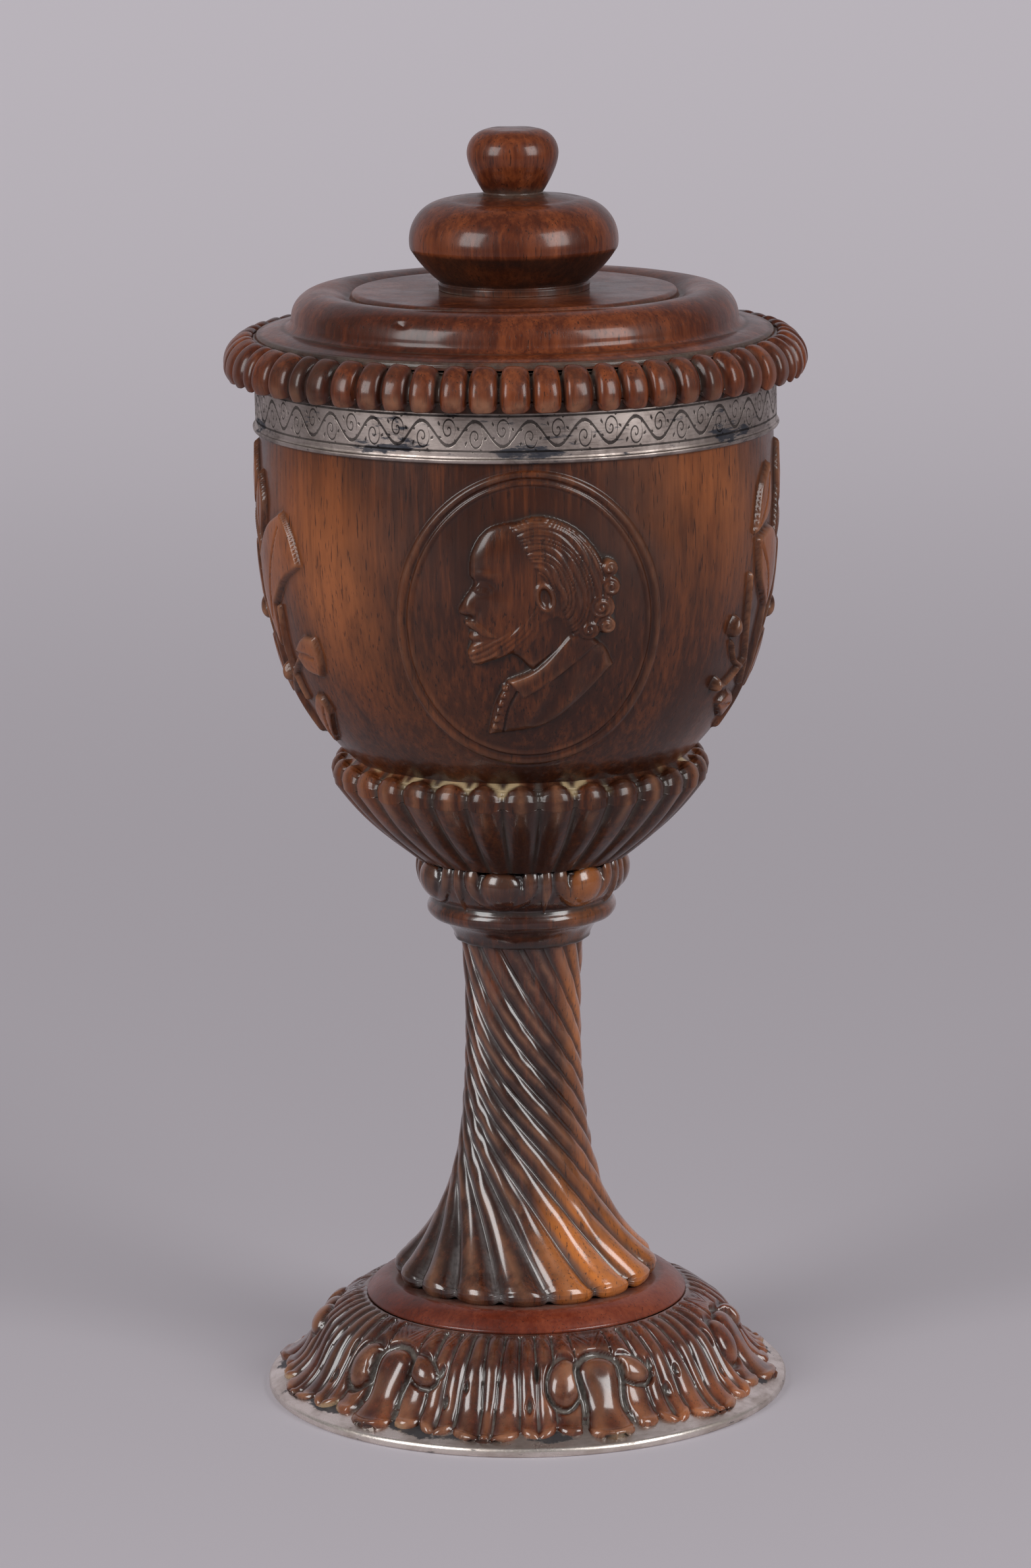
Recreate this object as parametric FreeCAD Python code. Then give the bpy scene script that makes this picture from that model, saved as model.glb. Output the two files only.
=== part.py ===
"""A standing cup of turned and carved wood with a cover, a silver band at the lip and a silver foot ring.

The cup stands on the table at z = 0 with its axis on Z, and the medallion faces -Y.
All lengths are in millimetres and all angles in degrees.
"""
import FreeCAD, Part
import math
import os

V = FreeCAD.Vector
ORIGIN = V(0, 0, 0)
UP = V(0, 0, 1)

# How closely the pieces sit on each other
SILVER_GAP = 0.1        # between a silver mount and the wood it wraps
SPIGOT_GAP = 0.1        # round a turned spigot in its hole
SPIGOT_END_GAP = 0.5    # below the end of a spigot
COVER_PLAY = 0.6        # round the locating ring of the cover, inside the cup's mouth

# Silver foot ring
RING_RADIUS = 57.9
RING_WALL = 1.2         # height of the upright edge
RING_SHEET = 0.9
RING_SHOULDER = 0.9     # how far the edge rounds over towards the slope
RING_TOP_RADIUS = 50.9  # where the slope ends under the wood
RING_TOP_HEIGHT = 4.6
RING_LIP = 3.4          # the edge turned in flat under the foot

# Foot
FOOT_HEIGHT = 24.8
PLUG_CLEAR_OF_TABLE = 1.4
DISH_RADIUS = 42.0      # the shallow hollow turned into the underside
DISH_DEPTH = 3.2
LEAF_EDGE_THICKNESS = 0.9
LEAF_TOP_RADIUS = 36.2
LEAF_TOP_HEIGHT = 21.0
LEAF_SHOULDER_RADIUS = 44.4
LEAF_SHOULDER_HEIGHT = 16.4
LEAF_WAIST_RADIUS = 50.2
LEAF_WAIST_HEIGHT = 7.5
LEAF_TIP_RADIUS = 56.2
DISC_RADIUS = 35.4      # the plain turned step between leaves and stem
DISC_EDGE = 0.6
DISC_TOP_RADIUS = 30.6
LEAVES = 6
LEAF_TURN = -10.0       # the leaf spine nearest the front, measured from it
LEAF_TOP_GROOVES = (0.0, 4.2, 8.8, 13.4, 18.2, 24.6)    # either side of the spine, where the leaf springs
LEAF_TIP_GROOVES = (0.0, 7.6, 12.2, 16.8, 21.0, 25.2)   # the same at the tips
LEAF_GROOVE = 1.5
CURL_WIDTH = 5.6        # the rolled side lobes of each leaf
CURL_LENGTH = 8.8
CURL_RISE = 0.9
CURL_HEIGHT = 10.6
CURL_ANGLE = 20.6       # from the leaf's spine
EDGE_NOTCH_RADIUS = 1.9
EDGE_NOTCH_DEPTH = 3.4     # between the tips, every second groove ends in a notch
SHORT_TIP_RADIUS = 53.8    # the tips beside the spine and the tongue stop short

# Stem
STEM_LENGTH = 96.2
REED_LENGTH = 77.4
REEDS = 16
REED_TURN = -1.0        # a reed's foot, measured from the front
REED_GROOVE_SHARE = 0.085   # groove depth for each millimetre of radius
SHAFT_RADIUS = 12.3
TOE_RADIUS = 28.8
TOE_HEIGHT = 2.7
TOE_UNDERCUT = 1.6
FLARE_RADIUS = 15.1     # how far the reeds spread beyond the shaft, above the toes
FLARE_DECAY = 14.0
FLARE_START = 5.0
NECK_SPREAD = 1.3
NECK_DECAY = 10.0
REED_SLOPE_ENDS = 0.55  # sideways travel of a reed for each millimetre of height
REED_SLOPE_MIDDLE = 0.92
STEM_SPIGOT_RADIUS = 8.0
LOWER_SPIGOT = 13.0
UPPER_SPIGOT = 8.0

# Capital of the stem, from its underside up
NECKING_RADIUS = 15.0
CAVETTO_HEIGHT = 4.7
CAVETTO_TOP_RADIUS = 18.4
TORUS_RADIUS = 20.5
TORUS_HEIGHT = 4.3
BELL_FOOT_RADIUS = 20.2
BELL_TOP_RADIUS = 23.0
BELL_BULGE = 2.0
BELL_CARVING = 1.0      # how deep the ground lies behind the carved leaves
TONGUES = 7
TONGUE_TURN = -12.0     # a tongue's middle, measured from the front
TONGUE_WIDTH = 14.6
TONGUE_BORDER = 2.2
EGG_WIDTH = 9.0
EGG_HEIGHT = 9.6
EGG_SWELL = 2.6
DART_WIDTH = 4.0

# Bowl
BOWL_HEIGHT = 105.8
BOWL_RADIUS = 56.0
WIDEST_HEIGHT = 79.0    # above the bowl's own underside
UPPER_BEND = 900.0      # radius of the side above the widest line
BELLY_BEND = 124.0
BELLY_ANGLE = 14.95
BOTTOM_BEND = 50.0
BOWL_WALL = 5.4
CALYX_HEIGHT = 23.9
CALYX_RADIUS = 41.5
CALYX_WIDEST = 19.4
CALYX_FOOT_RADIUS = 23.7
CALYX_HEAD_RADIUS = 39.2
CALYX_SWELL = 1.5       # how far the cone of the calyx bulges
CALYX_LOBES = 32
CALYX_GROOVE = 1.5

# Silver band
BAND_TOP_GAP = 0.3      # below the lip, clear of the cover
BAND_HEIGHT = 11.3
BAND_SHEET = 0.95
BAND_BEAD = 1.7         # thickness of the rolled lower edge
BAND_BEAD_HEIGHT = 5.6
BAND_REBATE = 0.15      # how far the wood is turned down under the band

# Oval medallion
MEDAL_TURN = 2.6
MEDAL_HEIGHT = 60.7     # its middle above the bowl's underside
MEDAL_HALF_WIDTH = 27.8
MEDAL_HALF_HEIGHT = 32.4
MEDAL_BORDER = 1.1
MEDAL_LINE = 0.7
MEDAL_LINE_INSET = 2.1
MEDAL_RISE = 0.55
BUST_RISE = 1.5
HAIR_RISE = 2.1
COLLAR_RISE = 2.1
COAT_RISE = 1.4

# Side sprays
# Outlines are smooth runs of places, each the angle from the front and the height above the table.
LEAF_RISE = 1.3
TWIG_RISE = 1.0
LEFT_LEAVES = (
    (((-77, 208.6), (-73.4, 201.5), (-76, 193)), ((-76, 193), (-80.5, 200.5), (-77, 208.6))),
    (((-62.8, 201.4), (-58.4, 196.4), (-55.8, 190.4)), ((-55.8, 190.4), (-63.4, 186.2), (-71.2, 179.9)),
     ((-71.2, 179.9), (-71.2, 175), (-72.8, 170.1)), ((-72.8, 170.1), (-79.5, 179.5), (-79, 190.4)),
     ((-79, 190.4), (-70.5, 197.6), (-62.8, 201.4))),
    (((-64, 171), (-59, 174.6), (-54, 175.1)), ((-54, 175.1), (-52.6, 170.6), (-53.8, 166.4)),
     ((-53.8, 166.4), (-60, 167.2), (-64, 171))),
    (((-60, 161.9), (-57.4, 161.2), (-55.8, 158.1)), ((-55.8, 158.1), (-60.6, 153.2), (-64.8, 150)),
     ((-64.8, 150), (-64.6, 157.2), (-60, 161.9))),
    (((-86, 212), (-82.4, 206), (-84, 199.6)), ((-84, 199.6), (-89.6, 206), (-86, 212))),
    (((-84, 186), (-90, 191.6), (-98, 190)), ((-98, 190), (-95, 181), (-86, 176.4)),
     ((-86, 176.4), (-83.6, 180.6), (-84, 186))),
    (((-80, 168), (-87, 171.6), (-94, 168)), ((-94, 168), (-89, 160.6), (-81, 159)),
     ((-81, 159), (-79.4, 163.4), (-80, 168))),
    (((-98, 205), (-101.4, 197), (-96, 191)), ((-96, 191), (-92.4, 198.6), (-98, 205))))
RIGHT_LEAVES = (
    (((73, 210), (67, 204.6), (64, 194.9)), ((64, 194.9), (72.6, 199.6), (73, 210))),
    (((65.8, 193.4), (74, 195.6), (80.8, 191.5)), ((80.8, 191.5), (81.4, 183.4), (76.5, 177)),
     ((76.5, 177), (69, 184.6), (65.8, 193.4))),
    (((67.2, 160.1), (71, 157.6), (67.5, 154.4)), ((67.5, 154.4), (63.6, 156.2), (60.4, 158.6)),
     ((60.4, 158.6), (63.6, 160.6), (67.2, 160.1))),
    (((86, 212), (82.4, 205), (84, 198.6)), ((84, 198.6), (89.6, 205), (86, 212))),
    (((84, 185), (90, 190.6), (98, 189)), ((98, 189), (95, 180), (86, 175.4)),
     ((86, 175.4), (83.6, 179.6), (84, 185))),
    (((79, 168), (86, 171.6), (93, 168)), ((93, 168), (88, 160.6), (80, 159)),
     ((80, 159), (78.4, 163.4), (79, 168))),
    (((98, 204), (101.4, 196), (96, 190)), ((96, 190), (92.4, 197.6), (98, 204))))
# A twig is its two ends, the middle between them and its half-width in degrees.
LEFT_TWIGS = (((-74.4, 151), (-77.6, 172), (-83.4, 204), 1.1), ((-69.2, 179.8), (-70.6, 170), (-67.5, 159.8), 0.6))
RIGHT_TWIGS = (((73.6, 151), (76.8, 172), (83.4, 203), 1.1), ((63.5, 186.4), (66, 174), (71.8, 161.6), 0.6))
# A berry is its angle, height and radius.
LEFT_BERRIES = ((-91.0, 174.4, 2.2),)
RIGHT_BERRIES = ((58.5, 175.9, 1.9), (55.2, 163.4, 1.3), (91.0, 173.4, 2.2))

# Cover
COVER_HEIGHT = 18.6
GADROONS = 60
GADROON_RADIUS = 63.4
GADROON_WIDEST = 3.2
GADROON_FOOT_RADIUS = 62.2
GADROON_HEIGHT = 10.0
GADROON_INNER_RADIUS = 56.4
GADROON_GROOVE = 1.5
COVER_SHELF_RADIUS = 50.4
COVER_SHELF_RISE = 0.9
RING_MOULD_RADIUS = 48.4
RING_MOULD_CREST = 42.0
PLATEAU_RADIUS = 35.4
PLATEAU_EDGE = 1.6
QUIRK_WIDTH = 1.2
LOCATOR_DEPTH = 5.0
LOCATOR_WALL = 3.4
COVER_HOLLOW = 9.4

# Finial
FINIAL_HEIGHT = 34.6
PLINTH_RADIUS = 16.4
PLINTH_HEIGHT = 1.3
BUN_RADIUS = 22.6
BUN_WIDEST = 9.3
BUN_TOP = 20.2
BUN_TOP_RADIUS = 13.6
BUN_COLLAR_RADIUS = 8.0
NECK_RADIUS = 6.3
KNOB_RADIUS = 9.9
KNOB_WIDEST = 29.3
KNOB_THROAT_RADIUS = 8.4
KNOB_THROAT = 25.6      # level at which the knob's taper turns into its rounding
KNOB_FLAT = 5.2
FINIAL_SPIGOT_RADIUS = 5.0
FINIAL_SPIGOT = 7.0

# Levels at which the pieces meet
STEM_SEAT = FOOT_HEIGHT
BOWL_SEAT = STEM_SEAT + STEM_LENGTH
LIP = BOWL_SEAT + BOWL_HEIGHT
FINIAL_SEAT = LIP + COVER_HEIGHT
WIDEST_LEVEL = BOWL_SEAT + WIDEST_HEIGHT
MEDAL_LEVEL = BOWL_SEAT + MEDAL_HEIGHT
BAND_TOP = LIP - BAND_TOP_GAP
BAND_FOOT = BAND_TOP - BAND_HEIGHT
LIP_RADIUS = BOWL_RADIUS - UPPER_BEND + math.sqrt(UPPER_BEND ** 2 - (LIP - WIDEST_LEVEL) ** 2)
MOUTH_RADIUS = LIP_RADIUS - BOWL_WALL


def polar(radius, angle, height=0.0):
    """Point at an angle from the front, counted towards +X."""
    a = math.radians(angle - 90.0)
    return V(radius * math.cos(a), radius * math.sin(a), height)


class Outline:
    """Half of a turned section, drawn anticlockwise with radius to the right and height up."""

    def __init__(self, radius, height):
        self.start = V(radius, 0, height)
        self.here = self.start
        self.edges = []

    def line(self, radius, height):
        end = V(radius, 0, height)
        self.edges.append(Part.LineSegment(self.here, end).toShape())
        self.here = end
        return self

    def bow(self, radius, height, bulge):
        """Arc whose middle stands out by bulge from the straight line, outwards where positive."""
        end = V(radius, 0, height)
        way = end - self.here
        out = V(way.z, 0, -way.x)
        out.normalize()
        middle = (self.here + end) * 0.5 + out * bulge
        self.edges.append(Part.Arc(self.here, middle, end).toShape())
        self.here = end
        return self

    def arc(self, middle, end):
        self.edges.append(Part.Arc(self.here, V(middle[0], 0, middle[1]), V(end[0], 0, end[1])).toShape())
        self.here = V(end[0], 0, end[1])
        return self

    def turned(self):
        if self.here.distanceToPoint(self.start) > 1e-6:
            self.line(self.start.x, self.start.z)
        return Part.Face(Part.Wire(self.edges)).revolve(ORIGIN, UP, 360)


def cylinder(radius, low, high):
    return Part.makeCylinder(radius, high - low, V(0, 0, low))


def around(shape, angle):
    copy = shape.copy()
    copy.rotate(ORIGIN, UP, angle)
    return copy


def pattern(shape, count):
    return [around(shape, 360.0 * k / count) for k in range(count)]


def lobed_wire(crest, groove, height, valleys):
    """Closed wire of convex arcs about the axis, one between each two neighbouring valley angles."""
    edges = []
    closed = list(valleys) + [valleys[0] + 360.0]
    for left, right in zip(closed[:-1], closed[1:]):
        middle = polar(crest, (left + right) / 2.0, height)
        edges.append(Part.Arc(polar(crest - groove, left, height), middle,
                              polar(crest - groove, right, height)).toShape())
    return Part.Wire(edges)


def even_valleys(count, turn=0.0):
    """Valley angles of equal lobes, with one lobe's middle at the angle turn."""
    step = 360.0 / count
    return [turn + step * (k + 0.5) for k in range(count)]


def ellipsoid(half_axes, centre, turn=0.0, lean=0.0):
    """Ellipsoid with half axes across, radial and up, centred on the front at centre and turned about Z.

    It leans to the left by the angle lean, in the plane that faces the front.
    """
    across, deep, high = half_axes
    shape = Part.makeSphere(1.0)
    stretch = FreeCAD.Matrix()
    stretch.scale(across, deep, high)
    shape = shape.transformGeometry(stretch)
    shape.rotate(ORIGIN, V(0, 1, 0), -lean)
    shape.translate(V(centre[0], -centre[1], centre[2]))
    shape.rotate(ORIGIN, UP, turn)
    return shape


# Silver foot ring: one sheet, standing on its turned-in lip

def foot_ring_outline(inset):
    """Points of the ring's outer face, or of the same face moved inwards by inset."""
    slope = math.atan2(RING_TOP_HEIGHT - RING_WALL - RING_SHOULDER, RING_RADIUS - RING_SHOULDER - RING_TOP_RADIUS)
    across = inset * math.sin(slope)
    down = inset * math.cos(slope)
    edge = (RING_RADIUS - inset, RING_WALL)
    shoulder = (RING_RADIUS - RING_SHOULDER - across, RING_WALL + RING_SHOULDER - down)
    top = (RING_TOP_RADIUS - across, RING_TOP_HEIGHT - down)
    return edge, shoulder, top


def make_foot_mount():
    edge, shoulder, top = foot_ring_outline(0.0)
    inner_edge, inner_shoulder, inner_top = foot_ring_outline(RING_SHEET)
    ring = Outline(RING_RADIUS - RING_LIP, 0)
    ring.line(RING_RADIUS - RING_SHEET / 2, 0)
    ring.bow(RING_RADIUS, RING_SHEET / 2, RING_SHEET * 0.1)
    ring.line(*edge)
    ring.bow(shoulder[0], shoulder[1], RING_SHOULDER * 0.25)
    ring.line(*top)
    ring.line(*inner_top)
    ring.line(*inner_shoulder)
    ring.line(RING_RADIUS - RING_SHEET, RING_WALL * 0.9)
    ring.line(RING_RADIUS - RING_SHEET, RING_SHEET)
    ring.line(RING_RADIUS - RING_LIP, RING_SHEET)
    return ring.turned()


# Foot: a turned plug with a flaring collar of six carved leaves and a plain step above

def leaf_valleys(spread):
    """Groove angles of all leaves; spread runs from 0 where the leaves spring to 1 at their tips."""
    half = [a + (b - a) * spread for a, b in zip(LEAF_TOP_GROOVES, LEAF_TIP_GROOVES)]
    scale = 60.0 / (360.0 / LEAVES)
    valleys = []
    for leaf in range(LEAVES):
        spine = LEAF_TURN + 360.0 * leaf / LEAVES
        for angle in [-a for a in reversed(half[1:])] + half:
            valleys.append(spine + angle / scale)
    return valleys


def leaf_line():
    """Crest of the leaves from under the step down to the tips, as one smooth curve."""
    tip_height = foot_edge_height(LEAF_TIP_RADIUS) + LEAF_EDGE_THICKNESS
    curve = Part.BSplineCurve()
    curve.interpolate([V(LEAF_TOP_RADIUS, 0, LEAF_TOP_HEIGHT),
                       V(LEAF_SHOULDER_RADIUS, 0, LEAF_SHOULDER_HEIGHT),
                       V(LEAF_WAIST_RADIUS, 0, LEAF_WAIST_HEIGHT),
                       V(LEAF_TIP_RADIUS, 0, tip_height)],
                      InitialTangent=V(1, 0, -0.15), FinalTangent=V(1, 0, -0.35))
    return curve


def foot_edge_height(radius):
    """Height of the wood's underside where it lies on the silver slope."""
    edge, shoulder, top = foot_ring_outline(0.0)
    rise = (top[1] - shoulder[1]) / (shoulder[0] - top[0])
    return shoulder[1] + (shoulder[0] - radius) * rise + SILVER_GAP


def nearest_parameter(curve, height):
    """Parameter at which a falling curve passes a height."""
    low, high = curve.FirstParameter, curve.LastParameter
    for _ in range(40):
        middle = (low + high) / 2
        if curve.value(middle).z > height:
            low = middle
        else:
            high = middle
    return low


def make_foot():
    line = leaf_line()
    wires = []
    stations = 9
    for k in range(stations):
        spread = k / (stations - 1.0)
        point = line.value(line.FirstParameter + spread * (line.LastParameter - line.FirstParameter))
        groove = LEAF_GROOVE * (0.35 + 0.65 * math.sin(math.pi * min(1.0, 0.15 + spread)))
        wires.append(lobed_wire(point.x, groove, point.z, leaf_valleys(spread)))
    tip = line.value(line.LastParameter)
    wires.append(lobed_wire(tip.x, groove, tip.z - 4.0, leaf_valleys(1.0)))
    leaves = Part.makeLoft(list(reversed(wires)), True, True)

    skirt = Outline(0, foot_edge_height(RING_TOP_RADIUS) - 1.0)
    skirt.line(RING_TOP_RADIUS - SILVER_GAP - RING_SHEET, foot_edge_height(RING_TOP_RADIUS) - 1.0)
    skirt.line(RING_TOP_RADIUS - SILVER_GAP - RING_SHEET, foot_edge_height(RING_TOP_RADIUS))
    skirt.line(RING_TOP_RADIUS, foot_edge_height(RING_TOP_RADIUS))
    skirt.line(LEAF_TIP_RADIUS + 4, foot_edge_height(LEAF_TIP_RADIUS + 4))
    skirt.line(LEAF_TIP_RADIUS + 4, FOOT_HEIGHT + 5)
    skirt.line(0, FOOT_HEIGHT + 5)
    above_silver = skirt.turned()

    collar = leaves.common(above_silver)

    plug_radius = RING_TOP_RADIUS - SILVER_GAP - RING_SHEET
    plug = Outline(DISH_RADIUS, PLUG_CLEAR_OF_TABLE)
    plug.line(plug_radius, PLUG_CLEAR_OF_TABLE)
    plug.line(plug_radius, RING_TOP_HEIGHT + 2.0)
    plug.line(LEAF_TOP_RADIUS - 1.0, LEAF_TOP_HEIGHT - 1.0)
    plug.line(DISC_RADIUS, LEAF_TOP_HEIGHT - 0.2)
    plug.line(DISC_RADIUS, LEAF_TOP_HEIGHT + DISC_EDGE)
    plug.bow(DISC_TOP_RADIUS, FOOT_HEIGHT, 0.5)
    plug.line(0, FOOT_HEIGHT)
    plug.line(0, PLUG_CLEAR_OF_TABLE + DISH_DEPTH)
    plug.bow(DISH_RADIUS, PLUG_CLEAR_OF_TABLE, -DISH_DEPTH * 0.3)
    foot = plug.turned()

    scale = 360.0 / LEAVES / 60.0
    belly = line.value(nearest_parameter(line, CURL_HEIGHT))
    curl = ellipsoid((CURL_WIDTH / 2, CURL_WIDTH / 2, CURL_LENGTH / 2),
                     (0, belly.x + CURL_RISE - CURL_WIDTH / 2, CURL_HEIGHT))
    curls = []
    for side in (-1, 1):
        curls += pattern(around(curl, LEAF_TURN + side * CURL_ANGLE * scale), LEAVES)
    foot = foot.fuse([collar] + curls)

    notches = []
    notch = cylinder(EDGE_NOTCH_RADIUS, 0, LEAF_SHOULDER_HEIGHT)
    notch.translate(V(0, -(LEAF_TIP_RADIUS - EDGE_NOTCH_DEPTH + EDGE_NOTCH_RADIUS), 0))
    for angle in LEAF_TIP_GROOVES[1::2]:
        for side in (-1, 1):
            notches += pattern(around(notch, LEAF_TURN + side * angle * scale), LEAVES)
    first, last = LEAF_TIP_GROOVES[1] * scale, LEAF_TIP_GROOVES[5] * scale
    trim = Part.makeCylinder(LEAF_TIP_RADIUS + 4, LEAF_WAIST_HEIGHT, ORIGIN, UP, last - first)
    trim = trim.cut(cylinder(SHORT_TIP_RADIUS, -1, LEAF_WAIST_HEIGHT + 1))
    for start in (first, -last):
        notches += pattern(around(trim, LEAF_TURN - 90.0 + start), LEAVES)
    foot = foot.cut(notches)
    bore = cylinder(STEM_SPIGOT_RADIUS + SPIGOT_GAP, STEM_SEAT - LOWER_SPIGOT - SPIGOT_END_GAP, STEM_SEAT + 1)
    return foot.cut(bore)


# Stem: sixteen twisted reeds that flare into toes, and a carved capital

def reed_radius(height):
    spread = FLARE_RADIUS * math.exp(-(height - FLARE_START) / FLARE_DECAY)
    neck = NECK_SPREAD * math.exp(-(REED_LENGTH - height) / NECK_DECAY)
    return SHAFT_RADIUS + spread + neck


def reed_slope(height):
    """Sideways travel of a reed for each millimetre that it rises."""
    middle = math.sin(math.pi * height / REED_LENGTH) ** 2
    return REED_SLOPE_ENDS + (REED_SLOPE_MIDDLE - REED_SLOPE_ENDS) * middle


def reed_sections():
    """Height, radius and turn of each section of the reeds, from the toes up.

    Sections are close enough that a reed never turns by half its own width between two of them.
    """
    sections = [(0.0, TOE_RADIUS - TOE_UNDERCUT, REED_TURN),
                (TOE_HEIGHT * 0.33, TOE_RADIUS - TOE_UNDERCUT * 0.2, REED_TURN),
                (TOE_HEIGHT, TOE_RADIUS, REED_TURN)]
    turn = REED_TURN
    last_turn = turn
    height = TOE_HEIGHT
    step = 0.25
    limit = 0.42 * 360.0 / REEDS
    while height < REED_LENGTH - 1e-9:
        rise = min(step, REED_LENGTH - height)
        turn -= math.degrees(rise * reed_slope(height + rise / 2) / reed_radius(height + rise / 2))
        height += rise
        done = height > REED_LENGTH - 1e-9
        far = last_turn - turn > limit or height - sections[-1][0] > 4.0
        if done or (far and height > FLARE_START and REED_LENGTH - height > 1.5):
            sections.append((height, reed_radius(height), turn))
            last_turn = turn
    return sections


def tongue_face(width, top, bottom):
    """Upright panel with a straight head and a half-round foot, in the plane that faces the front."""
    half = width / 2
    turn_level = bottom + half * 0.95
    edges = [Part.LineSegment(V(half, 0, turn_level), V(half, 0, top)).toShape(),
             Part.LineSegment(V(half, 0, top), V(-half, 0, top)).toShape(),
             Part.LineSegment(V(-half, 0, top), V(-half, 0, turn_level)).toShape(),
             Part.Arc(V(-half, 0, turn_level), V(0, 0, bottom), V(half, 0, turn_level)).toShape()]
    return Part.Face(Part.Wire(edges))


def make_stem():
    wires = []
    for height, radius, turn in reed_sections():
        groove = radius * REED_GROOVE_SHARE
        wires.append(lobed_wire(radius, groove, STEM_SEAT + height, even_valleys(REEDS, turn)))
    reeds = Part.makeLoft(wires, True, True)

    base = STEM_SEAT + REED_LENGTH
    bell = base + CAVETTO_HEIGHT + TORUS_HEIGHT
    head = Outline(0, base - 2.0)
    head.line(SHAFT_RADIUS * 0.8, base - 2.0)
    head.line(SHAFT_RADIUS * 0.8, base)
    head.line(NECKING_RADIUS, base)
    head.line(NECKING_RADIUS, base + 0.6)
    head.bow(CAVETTO_TOP_RADIUS, base + CAVETTO_HEIGHT, -0.6)
    head.bow(TORUS_RADIUS - 0.3, bell - 0.6, TORUS_HEIGHT * 0.3)
    head.line(BELL_FOOT_RADIUS - BELL_CARVING, bell)
    head.bow(BELL_TOP_RADIUS - BELL_CARVING, BOWL_SEAT, BELL_BULGE)
    head.line(0, BOWL_SEAT)
    head = head.turned()

    whole = Outline(0, bell - 0.2)
    whole.line(BELL_FOOT_RADIUS, bell - 0.2)
    whole.bow(BELL_TOP_RADIUS, BOWL_SEAT, BELL_BULGE)
    whole.line(0, BOWL_SEAT)
    whole = whole.turned()
    reach = V(0, -TORUS_RADIUS * 2, 0)
    border = tongue_face(TONGUE_WIDTH, BOWL_SEAT + 1, bell - 0.1)
    border = border.cut(tongue_face(TONGUE_WIDTH - 2 * TONGUE_BORDER, BOWL_SEAT + 2, bell + TONGUE_BORDER * 0.8))
    border = around(border.extrude(reach).common(whole), TONGUE_TURN)
    half = DART_WIDTH / 2
    dart = Part.Face(Part.makePolygon([V(-half, 0, BOWL_SEAT + 1), V(half, 0, BOWL_SEAT + 1),
                                       V(half * 0.8, 0, bell + 4.5), V(0, 0, bell + 0.6),
                                       V(-half * 0.8, 0, bell + 4.5), V(-half, 0, BOWL_SEAT + 1)]))
    dart = around(dart.extrude(reach).common(whole), TONGUE_TURN + 180.0 / TONGUES)
    egg = ellipsoid((EGG_WIDTH / 2, EGG_SWELL, EGG_HEIGHT / 2),
                    (0, BELL_TOP_RADIUS + BELL_BULGE * 0.6 - EGG_SWELL, BOWL_SEAT - EGG_HEIGHT / 2 - 0.2), TONGUE_TURN)
    stem = reeds.fuse([head] + pattern(border, TONGUES) + pattern(dart, TONGUES) + pattern(egg, TONGUES))
    lower = cylinder(STEM_SPIGOT_RADIUS, STEM_SEAT - LOWER_SPIGOT, STEM_SEAT + 2)
    upper = cylinder(STEM_SPIGOT_RADIUS, BOWL_SEAT - 2, BOWL_SEAT + UPPER_SPIGOT)
    return stem.fuse([lower, upper])


# Bowl: hollow, with a gadrooned calyx, the oval medallion and a spray on each side

def bowl_side(offset):
    """Ends and middles of the three arcs of the bowl's side, moved out by offset, from the flat base up."""
    belly = math.radians(BELLY_ANGLE)
    low_x = BOWL_RADIUS - BELLY_BEND + (BELLY_BEND - BOTTOM_BEND) * math.cos(belly)
    low_z = WIDEST_LEVEL - (BELLY_BEND - BOTTOM_BEND) * math.sin(belly)
    top = math.asin((LIP - WIDEST_LEVEL) / (UPPER_BEND + offset))

    def on(cx, cz, bend, angle):
        return (cx + (bend + offset) * math.cos(angle), cz + (bend + offset) * math.sin(angle))

    base = on(low_x, low_z, BOTTOM_BEND, -math.pi / 2)
    arcs = [(on(low_x, low_z, BOTTOM_BEND, -(math.pi / 2 + belly) / 2), on(low_x, low_z, BOTTOM_BEND, -belly)),
            (on(BOWL_RADIUS - BELLY_BEND, WIDEST_LEVEL, BELLY_BEND, -belly / 2),
             on(BOWL_RADIUS - BELLY_BEND, WIDEST_LEVEL, BELLY_BEND, 0)),
            (on(BOWL_RADIUS - UPPER_BEND, WIDEST_LEVEL, UPPER_BEND, top / 2),
             on(BOWL_RADIUS - UPPER_BEND, WIDEST_LEVEL, UPPER_BEND, top))]
    return base, arcs


def bowl_body(offset, lift=0.0):
    """Solid whose side is the bowl's side moved out by offset, closed at the lip and raised by lift."""
    base, arcs = bowl_side(offset)
    body = Outline(0, base[1])
    body.line(*base)
    for middle, end in arcs:
        body.arc(middle, end)
    if lift:
        body.line(arcs[-1][1][0], LIP + lift)
    body.line(0, LIP + lift)
    return body.turned()


def relief_shell(rise):
    """Skin of the bowl's side between the band and the calyx, from inside the wall to rise above it."""
    skin = bowl_body(rise).cut(bowl_body(-BOWL_WALL / 2))
    low = BOWL_SEAT + CALYX_HEIGHT
    return skin.common(cylinder(BOWL_RADIUS + 10, low, BAND_FOOT - 0.3))


def panel(wire, turn, level, shell):
    """The part of a relief shell that a flat outline covers, seen square on from the given angle."""
    face = Part.Face(wire)
    prism = face.extrude(V(0, -BOWL_RADIUS * 1.3, 0))
    prism.translate(V(0, 0, level))
    return around(prism, turn).common(shell)


def oval(half_width, half_height):
    """Upright oval wire about the origin, with its long axis whichever way is larger."""
    if half_height >= half_width:
        shape = Part.Ellipse(ORIGIN, half_height, half_width).toShape()
        shape.rotate(ORIGIN, UP, 90)
    else:
        shape = Part.Ellipse(ORIGIN, half_width, half_height).toShape()
    shape.rotate(ORIGIN, V(1, 0, 0), 90)
    return Part.Wire(shape)


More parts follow.
